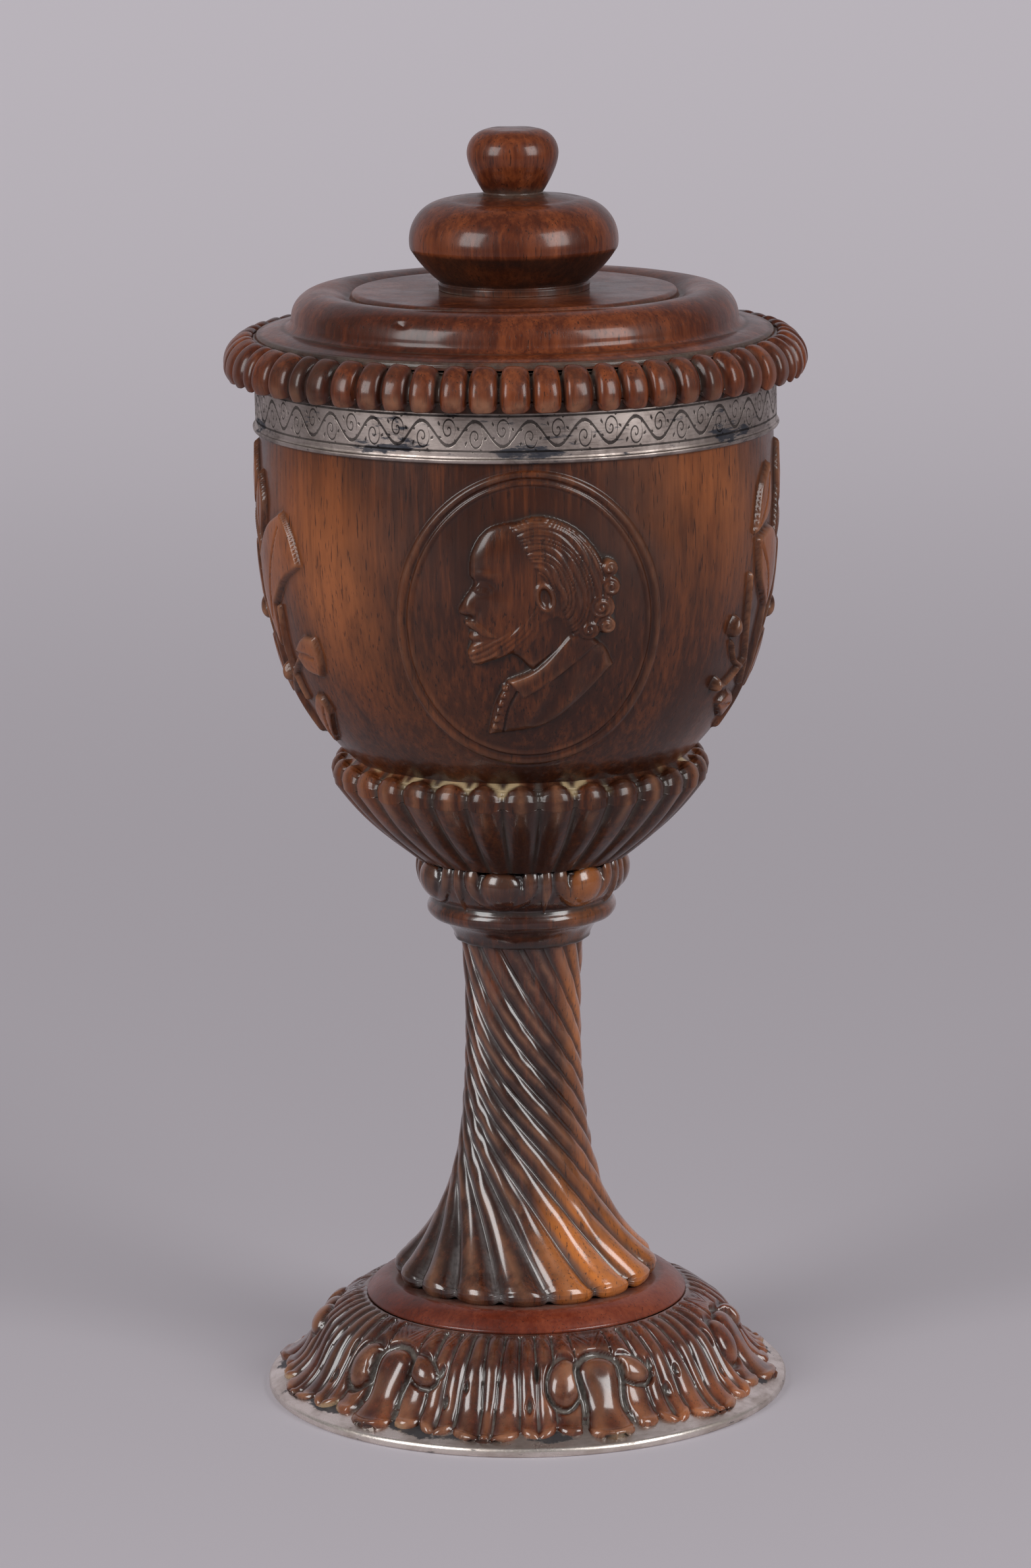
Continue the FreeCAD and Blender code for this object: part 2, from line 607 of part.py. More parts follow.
def oval_ring(half_width, half_height, width, shell):
    outer = panel(oval(half_width, half_height), MEDAL_TURN, MEDAL_LEVEL, shell)
    inner = panel(oval(half_width - width, half_height - width), MEDAL_TURN, MEDAL_LEVEL, shell)
    return outer.cut(inner)


def smooth_wire(points):
    """Closed wire through points across and up: a spline in each list of points, ends shared."""
    edges = []
    for run in points:
        spots = [V(x, 0, z) for x, z in run]
        if len(spots) == 2:
            edges.append(Part.LineSegment(spots[0], spots[1]).toShape())
        elif len(spots) == 3:
            edges.append(Part.Arc(spots[0], spots[1], spots[2]).toShape())
        else:
            curve = Part.BSplineCurve()
            curve.interpolate(spots)
            edges.append(curve.toShape())
    return Part.Wire(edges)


def make_bust():
    """Head and shoulders of a man in profile, facing left, about the medallion's middle."""
    head = smooth_wire([
        [(1.0, 22.6), (-8.2, 20.6), (-12.0, 15.6), (-12.6, 10.8), (-11.9, 8.6), (-15.0, 3.0), (-12.9, 1.4)],
        [(-12.9, 1.4), (-13.3, -0.2), (-12.4, -1.4)],
        [(-12.4, -1.4), (-12.9, -2.8), (-12.2, -4.0)],
        [(-12.2, -4.0), (-13.0, -6.2), (-11.0, -8.2)],
        [(-11.0, -8.2), (-4.0, -6.6), (0.6, -10.5)],
        [(0.6, -10.5), (9.0, -3.6)],
        [(9.0, -3.6), (14.2, 10.0), (1.0, 22.6)]])
    hair = smooth_wire([
        [(-4.6, 21.2), (2.0, 22.9), (9.6, 20.0), (15.2, 13.0), (17.2, 5.2), (15.4, -1.4), (9.2, -3.6)],
        [(9.2, -3.6), (6.6, 1.0), (4.6, 6.6)],
        [(4.6, 6.6), (2.6, 13.6), (-4.6, 21.2)]])
    coat = smooth_wire([
        [(-4.9, -12.4), (-7.6, -18.2), (-8.8, -25.0)],
        [(-8.8, -25.0), (4.8, -22.0), (17.6, -9.8)],
        [(17.6, -9.8), (12.6, -3.6)],
        [(12.6, -3.6), (-4.9, -12.4)]])
    collar = smooth_wire([
        [(-4.9, -12.4), (1.4, -9.4), (7.9, -2.4)],
        [(7.9, -2.4), (11.4, -2.0), (14.4, -4.6)],
        [(14.4, -4.6), (6.0, -11.6), (-1.4, -16.6)],
        [(-1.4, -16.6), (-4.9, -12.4)]])
    pieces = [panel(head, MEDAL_TURN, MEDAL_LEVEL, relief_shell(BUST_RISE)),
              panel(hair, MEDAL_TURN, MEDAL_LEVEL, relief_shell(HAIR_RISE)),
              panel(coat, MEDAL_TURN, MEDAL_LEVEL, relief_shell(COAT_RISE)),
              panel(collar, MEDAL_TURN, MEDAL_LEVEL, relief_shell(COLLAR_RISE))]
    for across, up, size in ((14.2, 2.6, 2.6), (16.6, 5.6, 2.1), (12.4, -1.0, 2.0)):
        depth = math.sqrt(BOWL_RADIUS ** 2 - across ** 2) - 1.4
        pieces.append(ellipsoid((size, 2.6, size), (across, depth, MEDAL_LEVEL + up), MEDAL_TURN))
    return pieces


def flank(runs, turn):
    """Wire of runs given as angle and height, drawn as it looks square on from the angle turn."""
    return smooth_wire([[(BOWL_RADIUS * math.sin(math.radians(angle - turn)), height) for angle, height in run]
                        for run in runs])


def make_spray(leaves, twigs, berries):
    """Fruiting branch on one side of the bowl."""
    shell = relief_shell(LEAF_RISE)
    thin = relief_shell(TWIG_RISE)
    pieces = []
    for start, middle, end, half in twigs:
        near = [(angle - half, height) for angle, height in (start, middle, end)]
        far = [(angle + half, height) for angle, height in (end, middle, start)]
        pieces.append(panel(flank([near, [near[-1], far[0]], far, [far[-1], near[0]]], middle[0]),
                            middle[0], 0.0, thin))
    for runs in leaves:
        turn = sum(run[0][0] for run in runs) / len(runs)
        pieces.append(panel(flank(runs, turn), turn, 0.0, shell))
    for turn, level, size in berries:
        pieces.append(ellipsoid((size, size, size), (0, bowl_radius_at(level) + 0.2, level), turn))
    return pieces


def bowl_radius_at(level):
    """Radius of the bowl's plain side at a level between its belly and its foot."""
    belly = math.radians(BELLY_ANGLE)
    low_x = BOWL_RADIUS - BELLY_BEND + (BELLY_BEND - BOTTOM_BEND) * math.cos(belly)
    low_z = WIDEST_LEVEL - (BELLY_BEND - BOTTOM_BEND) * math.sin(belly)
    if level < WIDEST_LEVEL - BELLY_BEND * math.sin(belly):
        return low_x + math.sqrt(BOTTOM_BEND ** 2 - (level - low_z) ** 2)
    return BOWL_RADIUS - BELLY_BEND + math.sqrt(BELLY_BEND ** 2 - (level - WIDEST_LEVEL) ** 2)


def make_calyx():
    wires = []
    stations = 6
    for k in range(stations):
        share = k / (stations - 1.0)
        radius = CALYX_FOOT_RADIUS + (CALYX_RADIUS - 0.4 - CALYX_FOOT_RADIUS) * share
        radius += CALYX_SWELL * math.sin(math.pi * share)
        height = BOWL_SEAT + (CALYX_WIDEST - 2.2) * share
        groove = CALYX_GROOVE * (0.45 + 0.55 * share)
        wires.append(lobed_wire(radius, groove, height, even_valleys(CALYX_LOBES)))
    for radius, height, groove in ((CALYX_RADIUS, CALYX_WIDEST, CALYX_GROOVE),
                                   (CALYX_RADIUS - 0.5, CALYX_WIDEST + 2.2, CALYX_GROOVE),
                                   (CALYX_HEAD_RADIUS, CALYX_HEIGHT, 1.2)):
        wires.append(lobed_wire(radius, groove, BOWL_SEAT + height, even_valleys(CALYX_LOBES)))
    return Part.makeLoft(wires, True, True)


def make_bowl():
    body = bowl_body(0.0)
    rebate = cylinder(BOWL_RADIUS + 5, BAND_FOOT, LIP + 1)
    rebate = rebate.cut(cylinder(band_bore() - SILVER_GAP, BAND_FOOT - 1, LIP + 2))
    line = relief_shell(MEDAL_RISE)
    inset = MEDAL_LINE_INSET
    pieces = [make_calyx(),
              oval_ring(MEDAL_HALF_WIDTH, MEDAL_HALF_HEIGHT, MEDAL_BORDER, line),
              oval_ring(MEDAL_HALF_WIDTH - inset, MEDAL_HALF_HEIGHT - inset, MEDAL_LINE, line)]
    pieces += make_bust()
    pieces += make_spray(LEFT_LEAVES, LEFT_TWIGS, LEFT_BERRIES)
    pieces += make_spray(RIGHT_LEAVES, RIGHT_TWIGS, RIGHT_BERRIES)
    bowl = body.fuse(pieces)
    bore = cylinder(STEM_SPIGOT_RADIUS + SPIGOT_GAP, BOWL_SEAT - 1, BOWL_SEAT + UPPER_SPIGOT + SPIGOT_END_GAP)
    return bowl.cut([rebate, bowl_body(-BOWL_WALL, 5.0), bore])


# Silver band round the lip

def band_bore():
    """Inner radius of the band, just outside the turned-down lip."""
    return LIP_RADIUS - BAND_REBATE + SILVER_GAP


def make_rim_mount():
    bore = band_bore()
    band = Outline(bore, BAND_FOOT)
    band.line(bore + BAND_BEAD * 0.4, BAND_FOOT)
    band.bow(bore + BAND_BEAD, BAND_FOOT + 1.0, 0.25)
    band.line(bore + BAND_BEAD, BAND_FOOT + 1.6)
    band.bow(bore + BAND_SHEET, BAND_FOOT + BAND_BEAD_HEIGHT, -0.15)
    band.line(bore + BAND_SHEET, BAND_TOP)
    band.line(bore, BAND_TOP)
    return band.turned()


# Cover: turned mouldings inside a ring of gadroons, with a locating ring below

def make_cover():
    shelf = LIP + GADROON_HEIGHT
    top = LIP + COVER_HEIGHT
    locator = MOUTH_RADIUS - COVER_PLAY
    body = Outline(locator - LOCATOR_WALL, LIP - LOCATOR_DEPTH)
    body.line(locator - 0.6, LIP - LOCATOR_DEPTH)
    body.line(locator, LIP - LOCATOR_DEPTH + 0.6)
    body.line(locator, LIP)
    body.line(GADROON_INNER_RADIUS + 1.0, LIP)
    body.line(GADROON_INNER_RADIUS, shelf - 0.2)
    body.bow(COVER_SHELF_RADIUS, shelf + COVER_SHELF_RISE, 0.2)
    body.bow(RING_MOULD_RADIUS, shelf + COVER_SHELF_RISE + 1.9, -0.55)
    body.bow(RING_MOULD_CREST, top + 0.2, 1.9)
    body.bow(PLATEAU_RADIUS + QUIRK_WIDTH, top - PLATEAU_EDGE, 0.5)
    body.line(PLATEAU_RADIUS, top - PLATEAU_EDGE)
    body.bow(PLATEAU_RADIUS - 1.2, top, 0.35)
    body.line(0, top)
    body.line(0, LIP + COVER_HOLLOW)
    body.bow(locator - LOCATOR_WALL, LIP + 1.0, -1.6)
    cover = body.turned()

    rim = []
    rise = GADROON_HEIGHT - GADROON_WIDEST
    reach = GADROON_RADIUS - GADROON_INNER_RADIUS
    rim.append(lobed_wire(GADROON_FOOT_RADIUS, GADROON_GROOVE, LIP, even_valleys(GADROONS)))
    for angle in (0.0, 25.0, 50.0, 72.0):
        a = math.radians(angle)
        radius = GADROON_INNER_RADIUS + reach * math.cos(a)
        height = LIP + GADROON_WIDEST + (rise - 0.3) * math.sin(a)
        rim.append(lobed_wire(radius, GADROON_GROOVE, height, even_valleys(GADROONS)))
    rim.append(lobed_wire(GADROON_INNER_RADIUS + 0.2, 0.5, shelf - 0.3, even_valleys(GADROONS)))
    rim = Part.makeLoft(rim, True, True)
    rim = rim.cut(cylinder(locator - 1.0, LIP - 1, shelf + 2))
    bore = cylinder(FINIAL_SPIGOT_RADIUS + SPIGOT_GAP, FINIAL_SEAT - FINIAL_SPIGOT - SPIGOT_END_GAP, FINIAL_SEAT + 1)
    return cover.fuse(rim).cut(bore)


# Finial: knob, flattened bun and plinth turned in one

def make_finial():
    seat = FINIAL_SEAT
    knob = seat + KNOB_WIDEST
    top = seat + FINIAL_HEIGHT
    body = Outline(0, seat - FINIAL_SPIGOT)
    body.line(FINIAL_SPIGOT_RADIUS, seat - FINIAL_SPIGOT)
    body.line(FINIAL_SPIGOT_RADIUS, seat)
    body.line(PLINTH_RADIUS, seat)
    body.line(PLINTH_RADIUS, seat + PLINTH_HEIGHT)
    body.line(PLINTH_RADIUS - 0.4, seat + PLINTH_HEIGHT + 0.5)
    body.bow(BUN_RADIUS, seat + BUN_WIDEST, 0.9)
    body.bow(BUN_TOP_RADIUS, seat + BUN_TOP - 0.8, 3.1)
    body.bow(BUN_COLLAR_RADIUS, seat + BUN_TOP, 0.1)
    body.bow(NECK_RADIUS, seat + BUN_TOP + 0.6, 0.1)
    body.bow(KNOB_THROAT_RADIUS, seat + KNOB_THROAT, 0.12)
    body.bow(KNOB_RADIUS, knob, 0.3)
    body.bow(KNOB_FLAT, top - 0.1, 1.5)
    body.line(0, top)
    return body.turned()


def save(name, shape):
    """Write one piece and say what it holds."""
    if shape.ShapeType == "Compound" and len(shape.Solids) == 1:
        shape = shape.Solids[0]
    shape.exportStep("parts/" + name + ".step")
    box = shape.BoundBox
    print(f"{name}: {len(shape.Solids)} solid, {len(shape.Faces)} faces, valid {shape.isValid()}, "
          f"volume {shape.Volume / 1000:.2f} cm3, z {box.ZMin:.2f} to {box.ZMax:.2f}, "
          f"x {box.XMin:.2f} to {box.XMax:.2f}")


def main():
    os.makedirs("parts", exist_ok=True)
    save("foot_mount", make_foot_mount())
    save("foot", make_foot())
    save("stem", make_stem())
    save("bowl", make_bowl())
    save("rim_mount", make_rim_mount())
    save("cover", make_cover())
    save("finial", make_finial())


if __name__ == "__main__":
    main()
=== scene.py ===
"""Looks of a treen covered cup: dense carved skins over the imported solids, old wood and worn silver.

Sizes in the classes are millimetres and degrees, but metres and degrees in Studio. Angles run from the
front, where the medallion is, towards the right as one faces it. Meshes are written in metres.
"""
import logging
import math
from dataclasses import dataclass, field
from enum import Enum
from typing import Sequence

import bpy
import numpy as np
from mathutils import Matrix


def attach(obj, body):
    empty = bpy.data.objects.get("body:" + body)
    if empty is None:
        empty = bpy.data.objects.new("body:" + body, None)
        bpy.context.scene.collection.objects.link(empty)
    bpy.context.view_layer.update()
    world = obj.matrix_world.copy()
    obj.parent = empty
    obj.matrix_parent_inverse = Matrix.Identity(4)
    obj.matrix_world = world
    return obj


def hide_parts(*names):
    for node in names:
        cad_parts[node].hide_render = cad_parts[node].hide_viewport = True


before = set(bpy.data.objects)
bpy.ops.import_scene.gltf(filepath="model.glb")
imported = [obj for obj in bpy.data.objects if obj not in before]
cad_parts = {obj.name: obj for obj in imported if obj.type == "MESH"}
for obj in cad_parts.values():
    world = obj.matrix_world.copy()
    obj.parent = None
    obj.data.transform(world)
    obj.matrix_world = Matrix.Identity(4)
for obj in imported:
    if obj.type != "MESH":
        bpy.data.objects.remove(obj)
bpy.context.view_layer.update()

Grid = np.ndarray
Colour = tuple[float, float, float, float]
Spot = tuple[float, float]

MM = 0.001
LOG = logging.getLogger("covered cup")

# Levels and sizes shared by neighbouring pieces
STEM_SEAT = 24.8
BOWL_SEAT = 121.0
LIP = 226.8
FINIAL_SEAT = 245.4
BAND_FOOT = 215.7


def shade(red: int, green: int, blue: int) -> Colour:
    """Turns a colour as seen on a screen, 0 to 255, into scene values."""
    def one(value: int) -> float:
        """One channel."""
        part = value / 255.0
        return part / 12.92 if part <= 0.04045 else ((part + 0.055) / 1.055) ** 2.4
    return (one(red), one(green), one(blue), 1.0)


def step_up(value: Grid, low: float, high: float) -> Grid:
    """Eases from 0 at low to 1 at high.

    Args:
        value: The numbers to ease.
        low: Where the rise starts.
        high: Where the rise ends.

    Returns:
        Numbers from 0 to 1.
    """
    share = np.clip((value - low) / (high - low), 0.0, 1.0)
    return share * share * (3.0 - 2.0 * share)


def hump(value: Grid, middle: float, width: float) -> Grid:
    """Bell of height 1 about middle."""
    return np.exp(-((value - middle) / width) ** 2)


def fall(value: Grid) -> Grid:
    """Falls evenly from 1 at 0 to 0 at 1."""
    return np.clip(1 - value, 0, 1)


def root(value: Grid) -> Grid:
    """Square root, and 0 below 0, as the height of a round top."""
    return np.sqrt(np.maximum(value, 0.0))


def centred(angle: Grid, pitch: float = 360.0) -> Grid:
    """Angle from the middle of the nearest repeat, where the middles lie at multiples of the pitch."""
    return np.mod(angle + pitch / 2, pitch) - pitch / 2


def pillow(depth: Grid, width: float, rise: float) -> Grid:
    """Rounded edge that reaches rise once a point lies width inside an outline.

    Args:
        depth: How far inside the outline each point lies, negative outside.
        width: Width of the rounded edge.
        rise: Height behind the edge.

    Returns:
        Height at each point, 0 outside.
    """
    share = np.clip(depth / width, 0.0, 1.0)
    return rise * np.sqrt(1.0 - (1.0 - share) ** 2)


def blur(grid: Grid, rows: int, columns: int, closed: bool) -> Grid:
    """Averages a grid over its neighbours.

    Args:
        grid: Values by row and column.
        rows: How many rows to each side.
        columns: How many columns to each side.
        closed: Whether the last column meets the first.

    Returns:
        The averaged grid.
    """
    result = np.zeros_like(grid)
    padded = np.pad(grid, ((rows, rows), (0, 0)), mode="edge")
    for k in range(2 * rows + 1):
        result += padded[k:k + grid.shape[0]]
    result /= 2 * rows + 1
    wide = np.pad(result, ((0, 0), (columns, columns)), mode="wrap" if closed else "edge")
    total = np.zeros_like(grid)
    for k in range(2 * columns + 1):
        total += wide[:, k:k + grid.shape[1]]
    return total / (2 * columns + 1)


class Ripple:
    """Smooth unevenness of hand work that meets itself after a full turn."""

    def __init__(self, seed: int, turns: int, rise: float, waves: int = 16) -> None:
        """Picks the waves.

        Args:
            seed: Start of the fixed random numbers.
            turns: Most waves round the piece.
            rise: Most waves for each millimetre of height.
            waves: How many waves are added up.
        """
        rng = np.random.default_rng(seed)
        self.round = rng.integers(1, turns + 1, waves) * rng.choice([-1, 1], waves)
        self.up = rng.uniform(-rise, rise, waves) * 2.0 * math.pi
        self.phase = rng.uniform(0.0, 2.0 * math.pi, waves)
        self.share = rng.uniform(0.4, 1.0, waves)
        self.share /= np.sqrt((self.share ** 2).sum() / 2.0)

    def at(self, angle: Grid, height: Grid) -> Grid:
        """Value, mostly between -1 and 1, at angles in degrees and heights in millimetres."""
        turn = np.radians(angle)
        total = np.zeros(np.broadcast(turn, height).shape)
        for count, up, phase, share in zip(self.round, self.up, self.phase, self.share):
            total += share * np.sin(count * turn + up * height + phase)
        return total * 0.6


class Pen:
    """Draws a turned section anticlockwise, with radius to the right and height up."""

    def __init__(self, radius: float, height: float) -> None:
        """Starts at a point."""
        self.spots: list[Spot] = [(radius, height)]

    def line(self, radius: float, height: float, parts: int = 5) -> "Pen":
        """Straight run, with its points closer together towards both ends."""
        start = self.spots[-1]
        for k in range(1, parts + 1):
            share = (1.0 - math.cos(math.pi * k / parts)) / 2.0
            self.spots.append((start[0] + (radius - start[0]) * share,
                               start[1] + (height - start[1]) * share))
        return self

    def bow(self, radius: float, height: float, bulge: float, parts: int = 10) -> "Pen":
        """Arc whose middle stands out by bulge from the straight line, outwards where positive."""
        start = self.spots[-1]
        way = (radius - start[0], height - start[1])
        length = math.hypot(*way)
        middle = ((start[0] + radius) / 2 + way[1] / length * bulge,
                  (start[1] + height) / 2 - way[0] / length * bulge)
        return self.arc(middle, (radius, height), parts)

    def arc(self, middle: Spot, end: Spot, parts: int = 10) -> "Pen":
        """Arc through a middle point.

        Args:
            middle: A point on the arc.
            end: Where it ends.
            parts: How many chords it is cut into.

        Returns:
            This pen.
        """
        (ax, ay), (bx, by), (cx, cy) = self.spots[-1], middle, end
        area = 2.0 * (ax * (by - cy) + bx * (cy - ay) + cx * (ay - by))
        if abs(area) < 1e-9:
            return self.line(end[0], end[1], parts)
        a2, b2, c2 = ax * ax + ay * ay, bx * bx + by * by, cx * cx + cy * cy
        ox = (a2 * (by - cy) + b2 * (cy - ay) + c2 * (ay - by)) / area
        oy = (a2 * (cx - bx) + b2 * (ax - cx) + c2 * (bx - ax)) / area
        bend = math.hypot(ax - ox, ay - oy)
        first = math.atan2(ay - oy, ax - ox)
        halfway = math.remainder(math.atan2(by - oy, bx - ox) - first, 2 * math.pi)
        rest = math.remainder(math.atan2(cy - oy, cx - ox) - first - halfway, 2 * math.pi)
        for k in range(1, parts + 1):
            angle = first + (halfway + rest) * k / parts
            self.spots.append((ox + bend * math.cos(angle), oy + bend * math.sin(angle)))
        return self

    def section(self, ease: int = 0) -> Grid:
        """Points of the section, with corners eased by some passes of averaging."""
        points = np.array(self.spots)
        for _ in range(ease):
            points[1:-1] = (points[:-2] + 2 * points[1:-1] + points[2:]) / 4
        return points


def even_rows(section: Grid, step: float) -> Grid:
    """Lays points at even steps along a section.

    Args:
        section: Points of the section.
        step: Distance between two rows.

    Returns:
        The new points, with the same ends.
    """
    along = np.concatenate([[0.0], np.cumsum(np.hypot(*np.diff(section, axis=0).T))])
    count = max(2, int(round(along[-1] / step)) + 1)
    spots = np.linspace(0.0, along[-1], count)
    return np.column_stack([np.interp(spots, along, section[:, 0]), np.interp(spots, along, section[:, 1])])


def full_turn(count: int) -> Grid:
    """Angles of evenly spaced columns all the way round."""
    return np.arange(count) * 360.0 / count


class Skin:
    """Grid of points over a turned piece, in rows along its section and columns round the axis."""

    def __init__(self, section: Grid, angles: Grid, closed: bool = True) -> None:
        """Lays the grid on a plain turned surface.

        Args:
            section: Radius and height of each row, drawn anticlockwise.
            angles: Angle of each column, or of each point where two-dimensional.
            closed: Whether the last column meets the first.
        """
        rows = len(section)
        self.angle = np.broadcast_to(angles, (rows, np.shape(angles)[-1])).astype(float)
        self.radius = np.repeat(section[:, :1], self.angle.shape[1], 1)
        self.height = np.repeat(section[:, 1:], self.angle.shape[1], 1)
        way = np.gradient(section, axis=0)
        length = np.maximum(np.hypot(way[:, 0], way[:, 1]), 1e-9)
        self.out = np.column_stack([way[:, 1], -way[:, 0]]) / length[:, None]
        self.closed = closed
        self.relief = np.zeros_like(self.radius)
        self.marks: dict[str, Grid] = {}

    @property
    def right(self) -> Grid:
        """How far each point lies to the right, from -1 to 1."""
        return np.sin(np.radians(self.angle))

    def ripple(self, seed: int, turns: int, rise: float, waves: int = 16) -> Grid:
        """Smooth unevenness at each point, picked as in Ripple."""
        return Ripple(seed, turns, rise, waves).at(self.angle, self.height)

    def raise_by(self, amount: Grid) -> None:
        """Adds relief, outwards where positive, to be carried out when the mesh is made."""
        self.relief = self.relief + amount

    def mark(self, name: str, values: Grid) -> None:
        """Keeps a value from 0 to 1 for each point, which the materials read by name."""
        self.marks[name] = np.clip(np.broadcast_to(values, self.radius.shape), 0.0, 1.0)

    def mark_carving(self, rows: int, columns: int, depth: float) -> None:
        """Marks hollows and crests of the relief. The wood darkens in the hollows as grime and painted shade.

        Args:
            rows: Reach of the comparison along the section, in rows.
            columns: Reach round the axis, in columns.
            depth: Relief that counts as a full hollow or crest.
        """
        mean = blur(blur(self.relief, rows, columns, self.closed), rows, columns, self.closed)
        fine = self.relief - mean
        self.mark("hollow", -fine / depth)
        self.mark("crest", fine / depth)

    def points(self) -> Grid:
        """Places of all points, in metres, by row and column."""
        radius = self.radius + self.relief * self.out[:, :1]
        height = self.height + self.relief * self.out[:, 1:]
        turn = np.radians(self.angle)
        return np.stack([radius * np.sin(turn), -radius * np.cos(turn), height], -1) * MM

    def build(self, name: str, material: bpy.types.Material, slot: str, nodes: Sequence[str],
              fan_first: bool = False, fan_last: bool = False) -> bpy.types.Object:
        """Makes the mesh and hangs it on the frame.

        Args:
            name: Name of the piece.
            material: Its finish.
            slot: The record's material slot; not used.
            nodes: Solids that it stands for.
            fan_first: Whether the first row closes on the axis.
            fan_last: Whether the last row closes on the axis.

        Returns:
            The new piece.
        """
        grid = self.points()
        rows, columns = grid.shape[:2]
        index = np.arange(rows * columns).reshape(rows, columns)
        right = np.roll(index, -1, 1) if self.closed else index[:, 1:]
        left = index if self.closed else index[:, :-1]
        faces = np.stack([left[:-1], right[:-1], right[1:], left[1:]], -1).reshape(-1, 4).tolist()
        points = grid.reshape(-1, 3)
        marks = {key: value.reshape(-1) for key, value in self.marks.items()}
        for wanted, row, order in ((fan_first, 0, -1), (fan_last, rows - 1, 1)):
            if wanted:
                centre = len(points)
                points = np.vstack([points, [[0.0, 0.0, grid[row, :, 2].mean()]]])
                marks = {key: np.append(value, value[row * columns]) for key, value in marks.items()}
                pairs = np.stack([left[row], right[row]], -1)[:, ::order]
                faces += [[int(a), int(b), centre] for a, b in pairs]
        mesh = bpy.data.meshes.new(name)
        mesh.from_pydata(points.tolist(), [], faces)
        mesh.polygons.foreach_set("use_smooth", [True] * len(mesh.polygons))
        for key, value in marks.items():
            layer = mesh.attributes.new(key, "FLOAT", "POINT")
            layer.data.foreach_set("value", value.astype(np.float32))
        mesh.materials.append(material)
        mesh.update()
        piece = bpy.data.objects.new(name, mesh)
        bpy.context.scene.collection.objects.link(piece)
        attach(piece, "root")
        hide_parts(*nodes)
        LOG.info("%s: %d points, %d faces", name, len(mesh.vertices), len(mesh.polygons))
        return piece


class Pattern:
    """Flat outline for relief work, made of smooth runs that meet in corners."""

    def __init__(self, runs: Sequence[Sequence[Spot]], fine: int = 10) -> None:
        """Rounds each run through its points.

        Args:
            runs: Points across and up. Each run ends where the next one starts.
            fine: Chords between two points of a run.
        """
        self.edge = np.vstack([self.smooth(run, fine)[:-1] for run in runs])

    @staticmethod
    def smooth(run: Sequence[Spot], fine: int = 10) -> Grid:
        """Points of a smooth curve through the given ones."""
        points = np.array(run, float)
        if len(points) < 3:
            return points
        ends = np.vstack([2 * points[0] - points[1], points, 2 * points[-1] - points[-2]])
        share = np.linspace(0, 1, fine, endpoint=False)[:, None]
        parts = []
        for p0, p1, p2, p3 in zip(ends[:-3], ends[1:-2], ends[2:-1], ends[3:]):
            parts.append(0.5 * (2 * p1 + (p2 - p0) * share + (2 * p0 - 5 * p1 + 4 * p2 - p3) * share ** 2
                                + (3 * p1 - p0 - 3 * p2 + p3) * share ** 3))
        return np.vstack(parts + [points[-1:]])

    def depth(self, across: Grid, up: Grid) -> Grid:
        """How far inside the outline points lie, negative outside.

        Args:
            across: Place of each point across.
            up: Place of each point up.

        Returns:
            Distance to the edge in millimetres, and -8 for all points well outside.
        """
        result = np.full(across.shape, -8.0)
        low, high = self.edge.min(0) - 1.0, self.edge.max(0) + 1.0
        near = (across > low[0]) & (across < high[0]) & (up > low[1]) & (up < high[1])
        if not near.any():
            return result
        x, y = across[near], up[near]
        best = np.full(x.shape, 1e9)
        inside = np.zeros(x.shape, bool)
        for (ax, ay), (bx, by) in zip(self.edge, np.roll(self.edge, -1, 0)):
            dx, dy = bx - ax, by - ay
            share = np.clip(((x - ax) * dx + (y - ay) * dy) / max(dx * dx + dy * dy, 1e-9), 0, 1)
            best = np.minimum(best, (x - ax - share * dx) ** 2 + (y - ay - share * dy) ** 2)
            if ay != by:
                inside ^= ((ay > y) != (by > y)) & (x < dx * (y - ay) / dy + ax)
        result[near] = np.where(inside, 1.0, -1.0) * np.sqrt(best)
        return result


class Strip:
    """A line drawn over the relief, round in section, for twigs, veins, grooves and locks of hair."""

    def __init__(self, run: Sequence[Spot], widths: Sequence[float]) -> None:
        """Keeps a smooth line with its half-widths at even shares of its length."""
        self.line = Pattern.smooth(run, 8)
        self.widths = np.interp(np.linspace(0, 1, len(self.line)), np.linspace(0, 1, len(widths)), widths)

    def height(self, across: Grid, up: Grid, rise: float = 1.0, power: float = 0.5) -> Grid:
        """Section of the line.

        Args:
            across: Place of each point across.
            up: Place of each point up.
            rise: Height of the middle.
            power: 0.5 for a round section, more for one that runs out softly.

        Returns:
            Height at each point, 0 off the line.
        """
        result = np.zeros(across.shape)
        reach = self.widths.max() + 0.2
        low, high = self.line.min(0) - reach, self.line.max(0) + reach
        near = (across > low[0]) & (across < high[0]) & (up > low[1]) & (up < high[1])
        if not near.any():
            return result
        x, y = across[near], up[near]
        best = np.zeros(x.shape)
        for k in range(len(self.line) - 1):
            (ax, ay), (bx, by) = self.line[k], self.line[k + 1]
            dx, dy = bx - ax, by - ay
            share = np.clip(((x - ax) * dx + (y - ay) * dy) / max(dx * dx + dy * dy, 1e-9), 0, 1)
            width = self.widths[k] + (self.widths[k + 1] - self.widths[k]) * share
            gap = ((x - ax - share * dx) ** 2 + (y - ay - share * dy) ** 2) / np.maximum(width, 1e-3) ** 2
            best = np.maximum(best, 1.0 - gap)
        result[near] = rise * np.maximum(best, 0.0) ** power
        return result


# ---------------------------------------------------------------- materials

